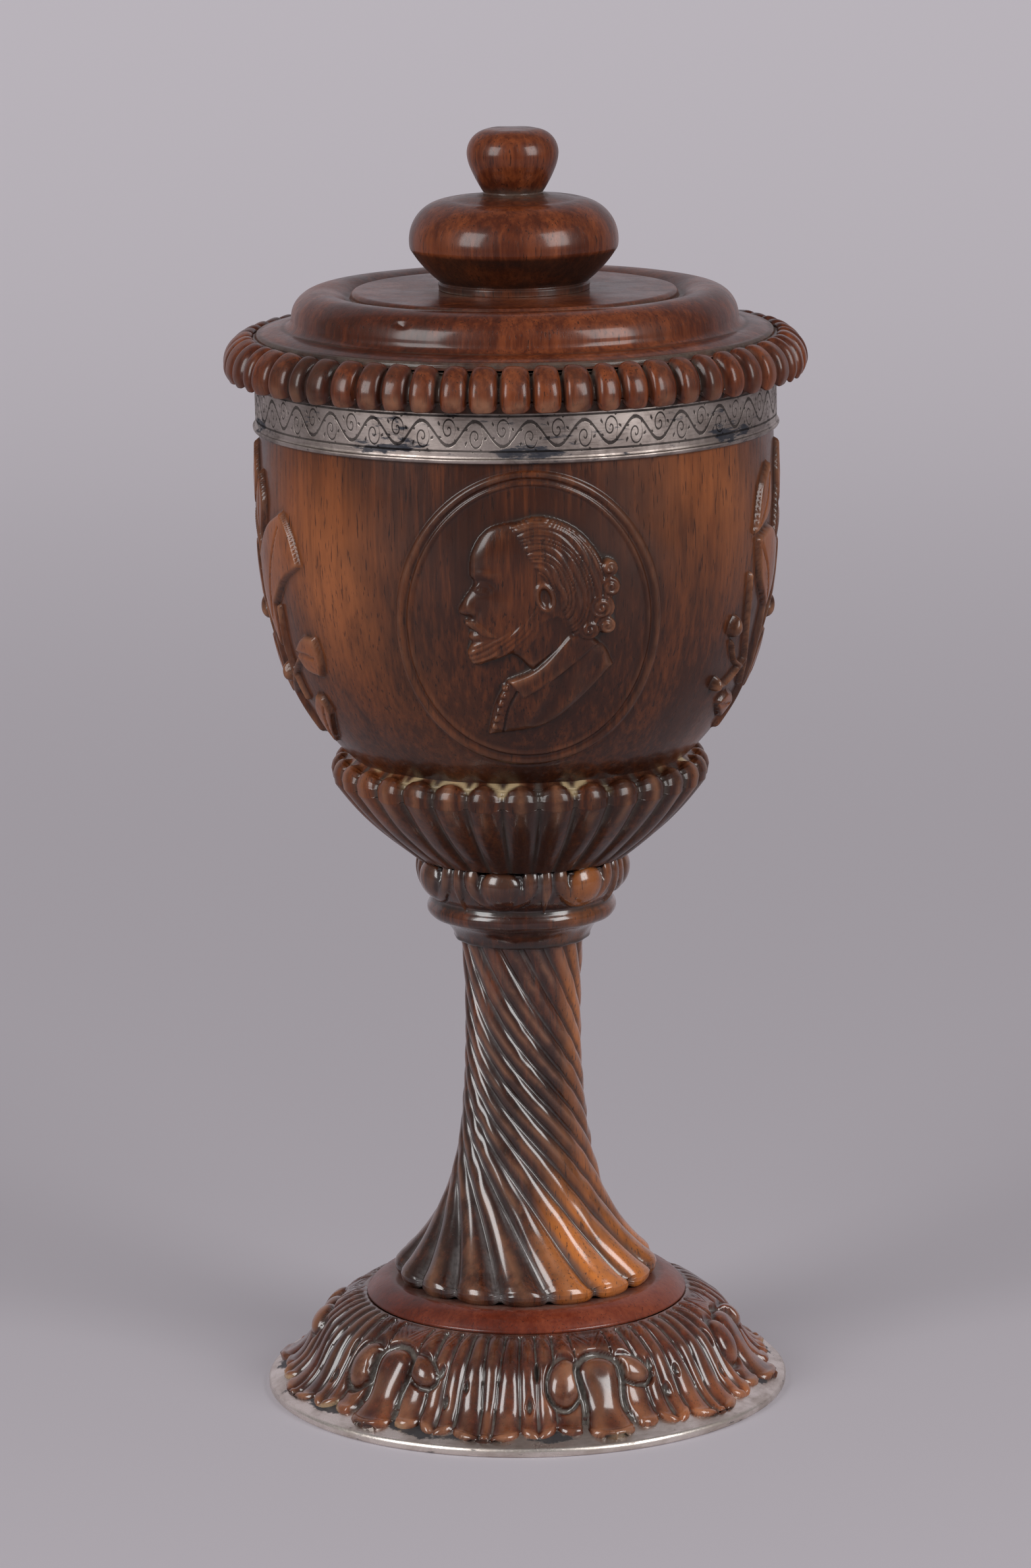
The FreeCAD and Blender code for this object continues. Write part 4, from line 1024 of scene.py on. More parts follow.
@dataclass
class Stem:
    """Sixteen reeds that turn up the shaft from rounded toes, under a carved capital."""
    reeds: int = 16
    reed_turn: float = -1.0
    reed_length: float = 77.4
    shaft: float = 12.3
    toe_height: float = 2.7
    toes: tuple[Spot, ...] = ((0.0, 28.2), (0.5, 28.7), (1.3, 29.1), (2.4, 29.3), (3.5, 28.9), (4.6, 27.9),
                              (5.6, 26.75))
    reed_columns: int = 17
    bell_radius: float = 22.0
    tongues: int = 7
    tongue_turn: float = -12.0
    tongue_width: float = 16.8
    egg: tuple[float, float, float] = (4.7, 5.2, 2.0)

    def reed_radius(self, height: Grid) -> Grid:
        """Crest radius of the reeds above the toes."""
        return (self.shaft + 15.1 * np.exp(-(height - 5.0) / 14.0)
                + 1.3 * np.exp(-(self.reed_length - height) / 10.0))

    def build(self, finishes: Finishes) -> None:
        """Makes the reeds and the capital."""
        self.build_reeds(finishes)
        self.build_capital(finishes)

    def build_reeds(self, finishes: Finishes) -> None:
        """Carves the twisted reeds."""
        heights = np.concatenate([np.linspace(0, 6, 34), np.linspace(6, self.reed_length, 170)[1:]])
        radius = np.where(heights < self.toes[-1][0], np.interp(heights, *zip(*self.toes)),
                          self.reed_radius(heights))
        slope = 0.55 + 0.37 * np.sin(np.pi * heights / self.reed_length) ** 2
        rate = np.where(heights > self.toe_height, np.degrees(slope / self.reed_radius(heights)), 0.0)
        turn = self.reed_turn - np.concatenate([[0.0], np.cumsum((rate[1:] + rate[:-1]) / 2 * np.diff(heights))])
        phase = full_turn(self.reeds * self.reed_columns)
        section = np.column_stack([radius, STEM_SEAT + heights])
        skin = Skin(section, phase[None, :] + turn[:, None])
        pitch = 360.0 / self.reeds
        across = np.abs(centred(phase, pitch)) / (pitch / 2)
        half_width = np.pi * radius / self.reeds
        groove = (0.30 * half_width)[:, None]
        body = root(1.0 - 0.965 * across ** 2)[None, :]
        toe = fall(heights / 5.0)[:, None]
        relief = (body - 1.0) * groove * (1.85 + 0.7 * fall(heights / 26.0)[:, None])
        ball = root(1 - (0.92 * across[None, :]) ** 4)
        relief = relief * (1 - toe) + toe * ((ball - 1.0) * 2.1 - 0.5 * across[None, :] ** 2)
        skin.raise_by(relief)
        skin.raise_by(0.10 * skin.ripple(31, 24, 0.06, 20))
        side = skin.right
        front = np.cos(np.radians(skin.angle))
        low = step_up(-skin.height, -70.0, -34.0)
        edge = np.clip((across - 0.62) / 0.38, 0, 1)[None, :] * np.ones_like(skin.radius)
        # Darker towards the grooves between the reeds: grime and painted shade.
        skin.mark("hollow", edge ** 1.5 * 0.9)
        skin.mark("crest", fall(across / 0.5)[None, :] * np.ones_like(skin.radius) * 0.6)
        patch = skin.ripple(33, 6, 0.03, 12)
        skin.mark("dust", edge ** 1.6 * 0.8 * step_up(-side, -0.85, 0.2) + low * edge * 0.2
                  + 0.05 * step_up(patch, 0.1, 0.9))
        # Orange on the right side, most of all low down: painted light on the lit side mixed with orange wood tone. A
        # small orange patch sits at the front.
        skin.mark("amber_and_light", np.maximum(low * step_up(side, 0.05, 0.6), 0.55 * step_up(side, 0.5, 0.95))
                  * (0.95 + 0.3 * patch) * (1 - 0.75 * edge)
                  + 0.35 * hump(skin.height, 38.0, 7.0) * step_up(front, 0.7, 1.0) * step_up(side, -0.05, 0.25))
        skin.mark("pale", 0.05 * low + 0.3 * step_up(patch, 0.2, 1.0))
        skin.build("stem_reeds", finishes.stem, "stem_wood", ["stem"])

    def build_capital(self, finishes: Finishes) -> None:
        """Carves the capital: necking, hollow, ring and the bell with its eggs and darts."""
        base = STEM_SEAT + self.reed_length
        bell = base + 9.0
        pen = Pen(10.0, base - 0.25)
        pen.line(14.6, base - 0.2, 3)
        pen.bow(15.0, base + 0.6, 0.2, 4)
        pen.bow(18.8, base + 4.7, -0.6, 12)
        pen.bow(20.2, bell - 0.6, 1.29, 14)
        pen.line(20.0, bell, 3)
        turned = pen.section()
        bow = Pen(20.0, bell).bow(22.6, BOWL_SEAT, 1.6, 60).section()
        carved = even_rows(bow, (BOWL_SEAT - bell) / 46)[1:]
        section = np.vstack([turned, carved, [[20.0, BOWL_SEAT]]])
        skin = Skin(section, full_turn(420))
        rows = np.arange(len(section))
        inside = ((rows >= len(turned)) & (rows < len(section) - 1))[:, None]
        pitch = 360.0 / self.tongues
        local = centred(skin.angle - self.tongue_turn, pitch)
        across = np.radians(local) * self.bell_radius
        up = skin.height - bell
        half = self.tongue_width / 2
        level = half * 0.95
        gap = np.where(up > level, half - np.abs(across), half - np.hypot(across, (up - level) * half / level))
        border = fall(((gap - 1.75) / 1.75) ** 2) ** 0.35
        relief = np.where(gap > 0.0, -1.15 + 1.2 * border, -0.55)
        wide, tall, swell = self.egg
        egg = 1 - (across / wide) ** 2 - ((up - 5.6) / tall) ** 2
        relief = np.where(egg > 0, np.maximum(relief, -1.15 + swell * root(egg)), relief)
        dart_across = np.radians(np.abs(local) - pitch / 2) * self.bell_radius
        dart = fall(np.abs(dart_across) / (0.4 + 1.3 * step_up(up, 0.3, 6.0)))
        relief = np.where(gap < -0.15, np.maximum(relief, -0.9 + 1.0 * np.minimum(1, dart * 1.6)), relief)
        skin.raise_by(np.where(inside, relief, 0.0))
        skin.mark_carving(3, 4, 0.55)
        plain = np.where(inside, 0.0, 1.0)
        side = skin.right
        # Darker in the carved hollows and in the corners at the necking and under the bell: grime and painted shade.
        hollow = np.maximum(skin.marks["hollow"] * np.where(inside, 1.1, 0.5),
                            plain * np.maximum(hump(skin.height, base + 0.2, 0.7), hump(skin.height, bell, 0.5)))
        skin.mark("hollow", hollow)
        skin.mark("crest", skin.marks["crest"] * np.where(inside, 1.0, 0.0))
        skin.mark("dust", 0.35 * np.where(inside, step_up(skin.marks["hollow"], 0.3, 0.9), 0.0)
                  + plain * 0.25 * hump(skin.height, base + 5.2, 0.6))
        # Orange eggs near 37 degrees are wood tone. The orange on the right side is painted light.
        skin.mark("amber_and_light", hump(skin.angle % 360.0, 37.0, 13.0) * np.where(inside, step_up(gap, -0.2, 0.6), 0.6) * 0.36
                  + 0.2 * step_up(side, 0.5, 1.0))
        skin.raise_by(0.06 * skin.ripple(41, 20, 0.1))
        skin.build("capital", finishes.stem, "stem_wood", ["stem"])


@dataclass
class Bust:
    """Head and shoulders in profile, facing left, about the medallion's middle."""
    face_rise: float = 1.55
    neck_rise: float = 0.95
    hair_rise: float = 2.05
    collar_rise: float = 1.9
    coat_rise: float = 1.35
    strand: float = 0.78
    head: tuple = (
        ((1.0, 22.6), (-8.2, 20.6), (-12.0, 15.6), (-12.6, 10.8), (-11.9, 8.6), (-15.0, 3.0), (-12.9, 1.4)),
        ((-12.9, 1.4), (-13.3, -0.2), (-12.4, -1.4)),
        ((-12.4, -1.4), (-12.9, -2.8), (-12.2, -4.0)),
        ((-12.2, -4.0), (-13.0, -6.2), (-11.0, -8.2)),
        ((-11.0, -8.2), (-4.0, -6.6), (0.6, -10.5)),
        ((0.6, -10.5), (9.0, -3.6)),
        ((9.0, -3.6), (14.2, 10.0), (1.0, 22.6)))
    hair: tuple = (
        ((-4.6, 21.2), (2.0, 22.9), (9.6, 20.0), (15.2, 13.0), (17.2, 5.2), (15.4, -1.4), (9.2, -3.6)),
        ((9.2, -3.6), (6.6, 1.0), (4.6, 6.6)),
        ((4.6, 6.6), (1.2, 10.6), (-1.6, 15.0), (-4.6, 21.2)))
    neck: tuple = (
        ((-6.2, -6.6), (-4.4, -9.6), (-4.9, -12.6)),
        ((-4.9, -12.6), (9.6, -3.0)),
        ((9.6, -3.0), (6.0, 1.6), (2.4, 0.4)),
        ((2.4, 0.4), (-1.0, -5.4), (-6.2, -6.6)))
    beard: tuple = (
        ((2.2, 5.4), (1.6, -0.8), (-2.6, -5.6), (-8.0, -8.0), (-11.6, -8.9), (-13.1, -6.4), (-12.2, -3.9)),
        ((-12.2, -3.9), (-10.2, -3.0), (-7.4, -2.2), (-3.6, -0.4), (-0.4, 3.2), (0.2, 6.0), (2.2, 5.4)))
    coat: tuple = (
        ((-4.9, -12.4), (-7.6, -18.2), (-8.8, -25.0)),
        ((-8.8, -25.0), (4.8, -22.0), (17.6, -9.8)),
        ((17.6, -9.8), (15.6, -5.6), (12.6, -3.6)),
        ((12.6, -3.6), (4.0, -10.2), (-4.9, -12.4)))
    collar: tuple = (
        ((-4.9, -12.4), (1.4, -9.4), (7.9, -2.4)),
        ((7.9, -2.4), (11.4, -2.0), (14.4, -4.6)),
        ((14.4, -4.6), (6.0, -11.6), (-1.4, -16.6)),
        ((-1.4, -16.6), (-4.9, -12.4)))

    # Upper lid, lower lid and mouth: run, half-widths and rise
    lines: tuple = (
        (((-11.6, 7.8), (-10.4, 8.9), (-8.9, 8.8), (-7.8, 7.7)), (0.3, 0.42, 0.42, 0.25), 0.26),
        (((-11.4, 7.5), (-10.2, 6.9), (-8.8, 7.0)), (0.2, 0.3, 0.2), 0.16),
        (((-12.7, -1.35), (-11.2, -1.5), (-9.7, -1.75)), (0.3, 0.3, 0.15), -0.4))

    @staticmethod
    def strands(phase: Grid, size: float) -> Grid:
        """Rounded strands of hair, from 0 in the cuts to size on top."""
        return size * np.abs(np.sin(phase)) ** 0.7

    def relief(self, across: Grid, up: Grid) -> Grid:
        """Height of the portrait above the ground.

        Args:
            across: Place to the right of the medallion's middle.
            up: Place above it.

        Returns:
            Height at each point.
        """
        head = Pattern(self.head).depth(across, up)
        total = pillow(head, 3.4, self.face_rise)
        total = self.model_face(total, head, across, up)
        neck = Pattern(self.neck).depth(across, up)
        total = np.where(neck > 0, np.minimum(total, self.neck_rise + 0.5 * np.exp(-neck / 0.6)), total)
        total = self.dress(total, across, up)
        beard = Pattern(self.beard).depth(across, up)
        flow = np.hypot(across + 16.0, (up - 14.0) * 0.86)
        locks = self.strands(flow * math.pi / 0.95 + 0.5 * np.sin(up * 1.1), 0.32)
        total = np.where(beard > 0, np.maximum(total, pillow(beard, 1.4, self.face_rise + 0.05) + locks - 0.1), total)
        moustache = Strip([(-12.9, 0.5), (-11.2, -0.2), (-9.0, -1.7), (-7.2, -2.6)], [0.5, 0.95, 0.9, 0.2])
        hairs = 0.85 + 0.15 * np.sin(across * 6.0 + up * 5.0)
        total = np.maximum(total, moustache.height(across, up, 0.55) * hairs
                           + (self.face_rise - 0.15) * (moustache.height(across, up) > 0.05))
        hair = Pattern(self.hair).depth(across, up)
        middle = np.hypot(across - 1.0, (up - 7.0))
        bend = 0.7 * np.sin(np.arctan2(up - 7.0, across - 1.0) * 3.0 + 0.4) + 0.3 * np.sin(middle * 1.7)
        locks = self.strands((middle + bend) * math.pi / self.strand / 1.35, 0.42)
        locks += 0.18 * np.abs(np.sin((middle + bend) * math.pi / 0.42))
        total = np.where(hair > 0, np.maximum(total, pillow(hair, 2.6, self.hair_rise) + locks - 0.25), total)
        return self.curls(total, across, up)

    def model_face(self, total: Grid, head: Grid, across: Grid, up: Grid) -> Grid:
        """Shapes brow, eye, nose, cheek, mouth and ear on the head.

        Args:
            total: Height so far.
            head: How far inside the head's outline each point lies.
            across: Place to the right of the medallion's middle.
            up: Place above it.

        Returns:
            The new height.
        """
        inside = head > 0

        def spot(x: float, y: float, wide: float, tall: float) -> Grid:
            """Soft round spot of height 1."""
            return np.exp(-((across - x) / wide) ** 2 - ((up - y) / tall) ** 2)

        shape = 0.30 * spot(-7.0, 15.0, 5.0, 4.5) + 0.26 * spot(-9.6, 10.9, 2.8, 0.9)
        shape -= 0.55 * spot(-9.4, 8.2, 1.9, 1.35)
        shape += 0.30 * spot(-6.2, 4.2, 3.0, 2.4) - 0.18 * spot(-4.6, -0.6, 2.2, 2.0)
        shape += 0.42 * spot(-12.9, 4.0, 1.0, 1.9) + 0.34 * spot(-12.0, 2.7, 0.85, 0.8)
        shape -= 0.32 * spot(-10.7, 2.9, 0.5, 1.0) + 0.25 * spot(-12.9, 1.9, 0.5, 0.35)
        shape += 0.18 * spot(-11.6, -2.6, 1.1, 0.5)
        total = total + np.where(inside, shape, 0.0)
        ball = 1 - ((across + 9.9) / 1.55) ** 2 - ((up - 7.9) / 0.95) ** 2
        total = total + np.where(inside, 0.42 * root(ball), 0.0)
        for run, widths, rise in self.lines:
            total += np.where(inside, Strip(run, widths).height(across, up, rise), 0.0)
        lean_x = across - 3.0 + (up - 5.8) * 0.16
        lean_y = up - 5.8
        ear = np.sqrt((lean_x / 1.9) ** 2 + (lean_y / 3.1) ** 2)
        total = np.where(ear < 1.25, np.maximum(total, self.face_rise + 0.05), total)
        total += np.where(ear < 1.3, 0.62 * hump(ear, 0.85, 0.22) - 0.35 * hump(ear, 0.3, 0.35), 0.0)
        return total

    def dress(self, total: Grid, across: Grid, up: Grid) -> Grid:
        """Adds coat, buttons and collar.

        Args:
            total: Height so far.
            across: Place to the right of the medallion's middle.
            up: Place above it.

        Returns:
            The new height.
        """
        coat = Pattern(self.coat).depth(across, up)
        folds = 0.30 * np.sin((across * 0.82 - up * 0.35) * 1.15 + 0.5 * np.sin(up * 0.5))
        folds *= step_up(across - 0.25 * up, 2.5, 6.5)
        cloth = pillow(coat, 2.2, self.coat_rise) + folds * step_up(coat, 0.2, 2.0)
        total = np.where(coat > 0, np.maximum(cloth, 0.0), total)
        edge = Strip([(-2.6, -14.4), (-4.6, -18.6), (-5.6, -24.0)], [0.32, 0.32, 0.32])
        total = total - np.where(coat > 0.2, edge.height(across, up, 0.4), 0.0)
        for k in range(6):
            x, y = -5.3 - 0.42 * k, -13.9 - 1.75 * k
            ball = 1 - ((across - x) ** 2 + (up - y) ** 2) / 0.62 ** 2
            total = np.where(ball > 0, np.maximum(total, self.coat_rise - 0.15 + 0.6 * root(ball)),
                             total)
        collar = Pattern(self.collar).depth(across, up)
        return np.where(collar > 0, np.maximum(total, pillow(collar, 1.0, self.collar_rise)), total)

    def curls(self, total: Grid, across: Grid, up: Grid) -> Grid:
        """Adds the curls at the nape.

        Args:
            total: Height so far.
            across: Place to the right of the medallion's middle.
            up: Place above it.

        Returns:
            The new height.
        """
        for x, y, size, way in ((14.4, 3.4, 2.9, 1), (16.4, 7.6, 2.2, -1), (12.0, -1.2, 2.4, 1), (15.6, -0.6, 1.9, -1),
                                (16.2, 11.6, 1.8, 1)):
            reach = np.hypot(across - x, up - y)
            dome = 1 - (reach / size) ** 2
            coil = np.sin(reach * math.pi / 0.62 + way * np.arctan2(up - y, across - x))
            height = 1.55 + 1.1 * root(dome) + 0.2 * coil
            total = np.where(dome > 0, np.maximum(total, height), total)
        return total


@dataclass
class Spray:
    """Fruiting branch on one side of the bowl, its places given as angle from the front and height."""
    leaves: tuple
    twigs: tuple
    berries: tuple
    rise: float = 1.2
    girth: float = 55.0
    vein_widths: tuple[float, ...] = (0.5, 0.35, 0.2)

    def flat(self, spots: Sequence[Spot]) -> list[Spot]:
        """Turns angles and heights into millimetres across and up."""
        return [(math.radians(a) * self.girth, z) for a, z in spots]

    def relief(self, angle: Grid, height: Grid) -> tuple[Grid, Grid]:
        """Height of the branch above the ground.

        Args:
            angle: Angle of each point from the front.
            height: Height of each point.

        Returns:
            The relief, and where its leaf faces are.
        """
        across = np.radians(angle) * self.girth
        total = np.zeros(across.shape)
        faces = np.zeros(across.shape)
        for run, widths in self.twigs:
            total = np.maximum(total, Strip(self.flat(run), widths).height(across, height, 1.15))
        for runs, veins in self.leaves:
            depth = Pattern([self.flat(run) for run in runs]).depth(across, height)
            leaf = pillow(depth, 0.6, self.rise) + 0.12 * step_up(depth, 0.5, 4.0)
            for vein in veins:
                leaf = leaf - Strip(self.flat(vein), self.vein_widths).height(across, height, 0.5)
            total = np.where(depth > 0, np.maximum(leaf, 0.2), total)
            faces = np.maximum(faces, step_up(depth, 0.2, 1.0))
        for (a, z), size in self.berries:
            x = math.radians(a) * self.girth
            point = np.clip((height - z) / size, 0, 1.6)
            ball = 1 - ((across - x) / (size * (1 - 0.35 * point))) ** 2 - np.where(
                height > z, ((height - z) / (size * 1.5)) ** 2, ((height - z) / size) ** 2)
            total = np.where(ball > 0, np.maximum(total, 0.4 + 2.0 * root(ball)), total)
        return total, faces


LEFT_SPRAY = Spray(
    leaves=(
        ((((-77, 208.6), (-73.4, 201.5), (-76, 193)), ((-76, 193), (-80.5, 200.5), (-77, 208.6))),
         (((-77, 206.5), (-76.8, 200), (-76.4, 194.5)),)),
        ((((-62.8, 201.4), (-58.4, 196.4), (-55.8, 190.4)), ((-55.8, 190.4), (-63.4, 186.2), (-71.2, 179.9)),
          ((-71.2, 179.9), (-71.2, 175), (-72.8, 170.1)), ((-72.8, 170.1), (-79.5, 179.5), (-79, 190.4)),
          ((-79, 190.4), (-70.5, 197.6), (-62.8, 201.4))),
         (((-74.5, 177), (-69.5, 188), (-63.5, 198)),)),
        ((((-64, 171), (-59, 174.6), (-54, 175.1)), ((-54, 175.1), (-52.6, 170.6), (-53.8, 166.4)),
          ((-53.8, 166.4), (-60, 167.2), (-64, 171))), (((-63, 170.6), (-58.5, 170.8), (-54.6, 170.6)),)),
        ((((-60, 161.9), (-57.4, 161.2), (-55.8, 158.1)), ((-55.8, 158.1), (-60.6, 153.2), (-64.8, 150)),
          ((-64.8, 150), (-64.6, 157.2), (-60, 161.9))), (((-63.6, 152), (-60.6, 156), (-58, 159.4)),)),
        ((((-86, 214), (-82.4, 207), (-84, 199.6)), ((-84, 199.6), (-89.6, 206), (-86, 214))),
         (((-85.6, 211), (-85.4, 206), (-84.8, 201.4)),)),
        ((((-84, 186), (-90, 191.6), (-98, 190)), ((-98, 190), (-95, 181), (-86, 176.4)),
          ((-86, 176.4), (-83.6, 180.6), (-84, 186))), (((-86, 180.6), (-90.6, 184.4), (-95.6, 188)),)),
        ((((-80, 168), (-87, 171.6), (-94, 168)), ((-94, 168), (-89, 160.6), (-81, 159)),
          ((-81, 159), (-79.4, 163.4), (-80, 168))), (((-82, 163), (-86.4, 165.6), (-91, 167)),)),
        ((((-98, 205), (-101.4, 197), (-96, 191)), ((-96, 191), (-92.4, 198.6), (-98, 205))),
         (((-97.4, 202), (-97, 197), (-96.4, 193)),))),
    twigs=(
        (((-69.2, 179.8), (-70.4, 170), (-67.5, 159.8)), (0.5, 0.7, 0.5)),
        (((-75, 152), (-77.5, 164), (-76.5, 178), (-80, 192), (-83, 204)), (1.2, 1.1, 1.0, 0.8, 0.5)),
        (((-77, 170), (-84, 178), (-92, 183)), (0.8, 0.7, 0.4)),
        (((-76.5, 160), (-68, 166), (-62, 170)), (0.7, 0.6, 0.4)),
        (((-80, 192), (-88, 197), (-96, 199)), (0.7, 0.6, 0.4))),
    berries=(((-90, 176.0), 2.2), ((-73.6, 164.5), 1.7)))

RIGHT_SPRAY = Spray(
    leaves=(
        ((((73, 210), (67, 204.6), (64, 194.9)), ((64, 194.9), (72.6, 199.6), (73, 210))),
         (((72, 207), (69.6, 201.6), (65.6, 196.6)),)),
        ((((65.8, 193.9), (74, 195.6), (80.8, 191.5)), ((80.8, 191.5), (81.4, 183.4), (76.5, 177)),
          ((76.5, 177), (69, 184.6), (65.8, 193.9))), (((67, 192.6), (72, 187), (76, 179.6)),)),
        ((((67.2, 160.1), (71, 157.6), (67.5, 154.4)), ((67.5, 154.4), (63.6, 156.2), (60.4, 158.6)),
          ((60.4, 158.6), (63.6, 160.6), (67.2, 160.1))), (((61.6, 158.2), (65, 157.8), (68.6, 157.6)),)),
        ((((86, 213), (82.4, 206), (84, 198.6)), ((84, 198.6), (89.6, 205), (86, 213))),
         (((85.6, 210), (85.4, 205), (84.8, 200.4)),)),
        ((((84, 185), (90, 190.6), (98, 189)), ((98, 189), (95, 180), (86, 175.4)),
          ((86, 175.4), (83.6, 179.6), (84, 185))), (((86, 179.6), (90.6, 183.4), (95.6, 187)),)),
        ((((79, 168), (86, 171.6), (93, 168)), ((93, 168), (88, 160.6), (80, 159)),
          ((80, 159), (78.4, 163.4), (79, 168))), (((81, 163), (85.4, 165.6), (90, 167)),)),
        ((((98, 204), (101.4, 196), (96, 190)), ((96, 190), (92.4, 197.6), (98, 204))),
         (((97.4, 201), (97, 196), (96.4, 192)),))),
    twigs=(
        (((63.5, 186.4), (66, 174), (71.8, 161.6)), (0.45, 0.6, 0.7)),
        (((55, 163.2), (59.8, 162.8), (64.5, 164.8), (69, 167.2)), (0.9, 0.45, 0.5, 0.6)),
        (((74, 152), (76.5, 164), (76.5, 178), (80, 192), (83, 203)), (1.2, 1.1, 1.0, 0.8, 0.5)),
        (((77, 170), (84, 177), (92, 182)), (0.8, 0.7, 0.4)),
        (((80, 192), (88, 196), (96, 198)), (0.7, 0.6, 0.4)),
        (((58.5, 172.4), (62, 168), (68, 165.6)), (0.3, 0.4, 0.5))),
    berries=(((58.5, 175.5), 1.9), ((90, 175.0), 2.2), ((55.2, 163.4), 1.2)))


@dataclass
class Bowl:
    """Deep bowl with a lobed calyx below, an oval portrait in front and a spray on each side."""
    radius: float = 56.0
    widest: float = 200.0
    upper_bend: float = 900.0
    belly_bend: float = 124.0
    belly_angle: float = 14.95
    bottom_bend: float = 50.0
    wall: float = 5.4
    wall_foot: float = 143.2
    front: Spot = (-33.0, 38.0)
    calyx_foot: float = 23.7
    calyx_radius: float = 41.5
    calyx_height: float = 23.9
    calyx_widest: float = 19.4
    lobes: int = 32
    medal_turn: float = 2.6
    medal_level: float = 181.7
    medal_size: Spot = (27.8, 32.4)
    sides: tuple[Spray, Spray] = (LEFT_SPRAY, RIGHT_SPRAY)
    bust: Bust = field(default_factory=Bust)

    def side(self, offset: float, parts: int = 40) -> Pen:
        """Section of the bowl's side, moved out by offset, from the middle of its base up to the lip.

        Args:
            offset: How far the line is moved outwards.
            parts: Chords in each arc.

        Returns:
            A pen that has drawn the line.
        """
        belly = math.radians(self.belly_angle)
        low_x = self.radius - self.belly_bend + (self.belly_bend - self.bottom_bend) * math.cos(belly)
        low_z = self.widest - (self.belly_bend - self.bottom_bend) * math.sin(belly)
        top = math.asin((LIP - self.widest) / (self.upper_bend + offset))

        def on(x: float, z: float, bend: float, angle: float) -> Spot:
            """Point on an arc."""
            return (x + (bend + offset) * math.cos(angle), z + (bend + offset) * math.sin(angle))

        pen = Pen(*on(low_x, low_z, self.bottom_bend, -math.pi / 2))
        pen.arc(on(low_x, low_z, self.bottom_bend, -(math.pi / 2 + belly) / 2),
                on(low_x, low_z, self.bottom_bend, -belly), parts * 2)
        pen.arc(on(self.radius - self.belly_bend, self.widest, self.belly_bend, -belly / 2),
                on(self.radius - self.belly_bend, self.widest, self.belly_bend, 0), parts)
        pen.arc(on(self.radius - self.upper_bend, self.widest, self.upper_bend, top / 2),
                on(self.radius - self.upper_bend, self.widest, self.upper_bend, top), parts)
        return pen

    def wall_rows(self, low: float, high: float, step: float) -> Grid:
        """Even rows of the outer wall between two levels."""
        line = self.side(0.0).section()
        fine = even_rows(line, 0.05)
        return even_rows(fine[(fine[:, 1] >= low) & (fine[:, 1] <= high)], step)

    def ground(self, skin: Skin) -> Grid:
        """Faint unevenness of the plain wood, the same on neighbouring pieces."""
        return (0.10 * skin.ripple(51, 9, 0.03, 16)
                + 0.025 * skin.ripple(52, 40, 0.12, 24))

    def fade(self, skin: Skin, first: float, last: float) -> None:
        """Lets the marks run out at the first and last angle, where the front meets the sides."""
        edge = np.minimum(step_up(skin.angle, first, first + 2.0), step_up(-skin.angle, -last, 2.0 - last))
        for name, values in list(skin.marks.items()):
            skin.mark(name, values * edge)

    def tones(self, skin: Skin) -> None:
        """Marks the broad paler and darker areas of the waxed wood: painted light, paler and more orange, where the
        bowl faces the two lamps, over tone that varies at random.
        """
        angle = centred(skin.angle)
        patch = skin.ripple(53, 5, 0.02, 10)
        # Paler humps on the left and right sides that face the lamps: painted light. The patch term is random tone.
        pale = 0.5 * hump(angle, -46.0, 17.0) * hump(skin.height, 190.0, 20.0)
        pale = pale + 0.34 * hump(angle, -38.0, 14.0) * hump(skin.height, 168.0, 20.0)
        pale = pale + 0.34 * hump(angle, 52.0, 22.0) * hump(skin.height, 205.0, 26.0)
        pale = pale + 0.18 * step_up(patch, 0.1, 1.0) + 0.10
        skin.mark("pale", 0.7 * pale)
        # Orange humps in the same lamp-facing places: painted light. The patch term is random tone.
        skin.mark("amber_and_light", 0.62 * hump(angle, -46.0, 15.0) * hump(skin.height, 188.0, 18.0)
                  + 0.45 * hump(angle, 50.0, 22.0) * hump(skin.height, 203.0, 18.0)
                  + 0.2 * step_up(patch, 0.0, 1.0))

    def build(self, finishes: Finishes) -> None:
        """Makes the front, the sides and back, the inside and the calyx."""
        self.build_front(finishes)
        self.build_sides(finishes)
        self.build_inside(finishes)
        self.build_calyx(finishes)

    def build_front(self, finishes: Finishes) -> None:
        """Carves the medallion and its bust."""
        rows = self.wall_rows(self.wall_foot, BAND_FOOT + 0.3, 0.262)
        skin = Skin(rows, np.linspace(*self.front, 274), closed=False)
        turn = np.radians(skin.angle - self.medal_turn)
        across = skin.radius * np.sin(turn)
        up = skin.height - self.medal_level
        wide, tall = self.medal_size
        reach = np.hypot(across / wide, up / tall)
        slope = np.hypot(across / wide ** 2, up / tall ** 2) / np.maximum(reach, 1e-6)
        inward = (1.0 - reach) / np.maximum(slope, 1e-6)
        rib = 0.62 * fall(((inward - 0.7) / 0.95) ** 2)
        line = 0.3 * fall(((inward - 2.6) / 0.6) ** 2)
        sink = -0.14 * hump(inward, 1.8, 0.4) - 0.1 * hump(inward, -0.35, 0.4)
        sink = sink - 0.24 * step_up(inward, 2.4, 3.3)
        bust = self.bust.relief(across, up)
        skin.raise_by(self.ground(skin) + rib + line + sink + bust)
        skin.mark_carving(4, 4, 0.7)
        inside = step_up(inward, 2.2, 3.0)
        skin.mark("hollow", skin.marks["hollow"] * (0.45 + 0.55 * inside))
        skin.mark("crest", skin.marks["crest"] * 0.5)
        skin.mark("dust", step_up(skin.marks["hollow"], 0.45, 1.0) * 0.16 * inside)
        self.fade(skin, *self.front)
        self.tones(skin)
        skin.mark("pale", skin.marks["pale"] + 0.12 * step_up(bust, 0.8, 2.0))
        skin.build("bowl_front", finishes.bowl, "bowl_wood", ["bowl"])

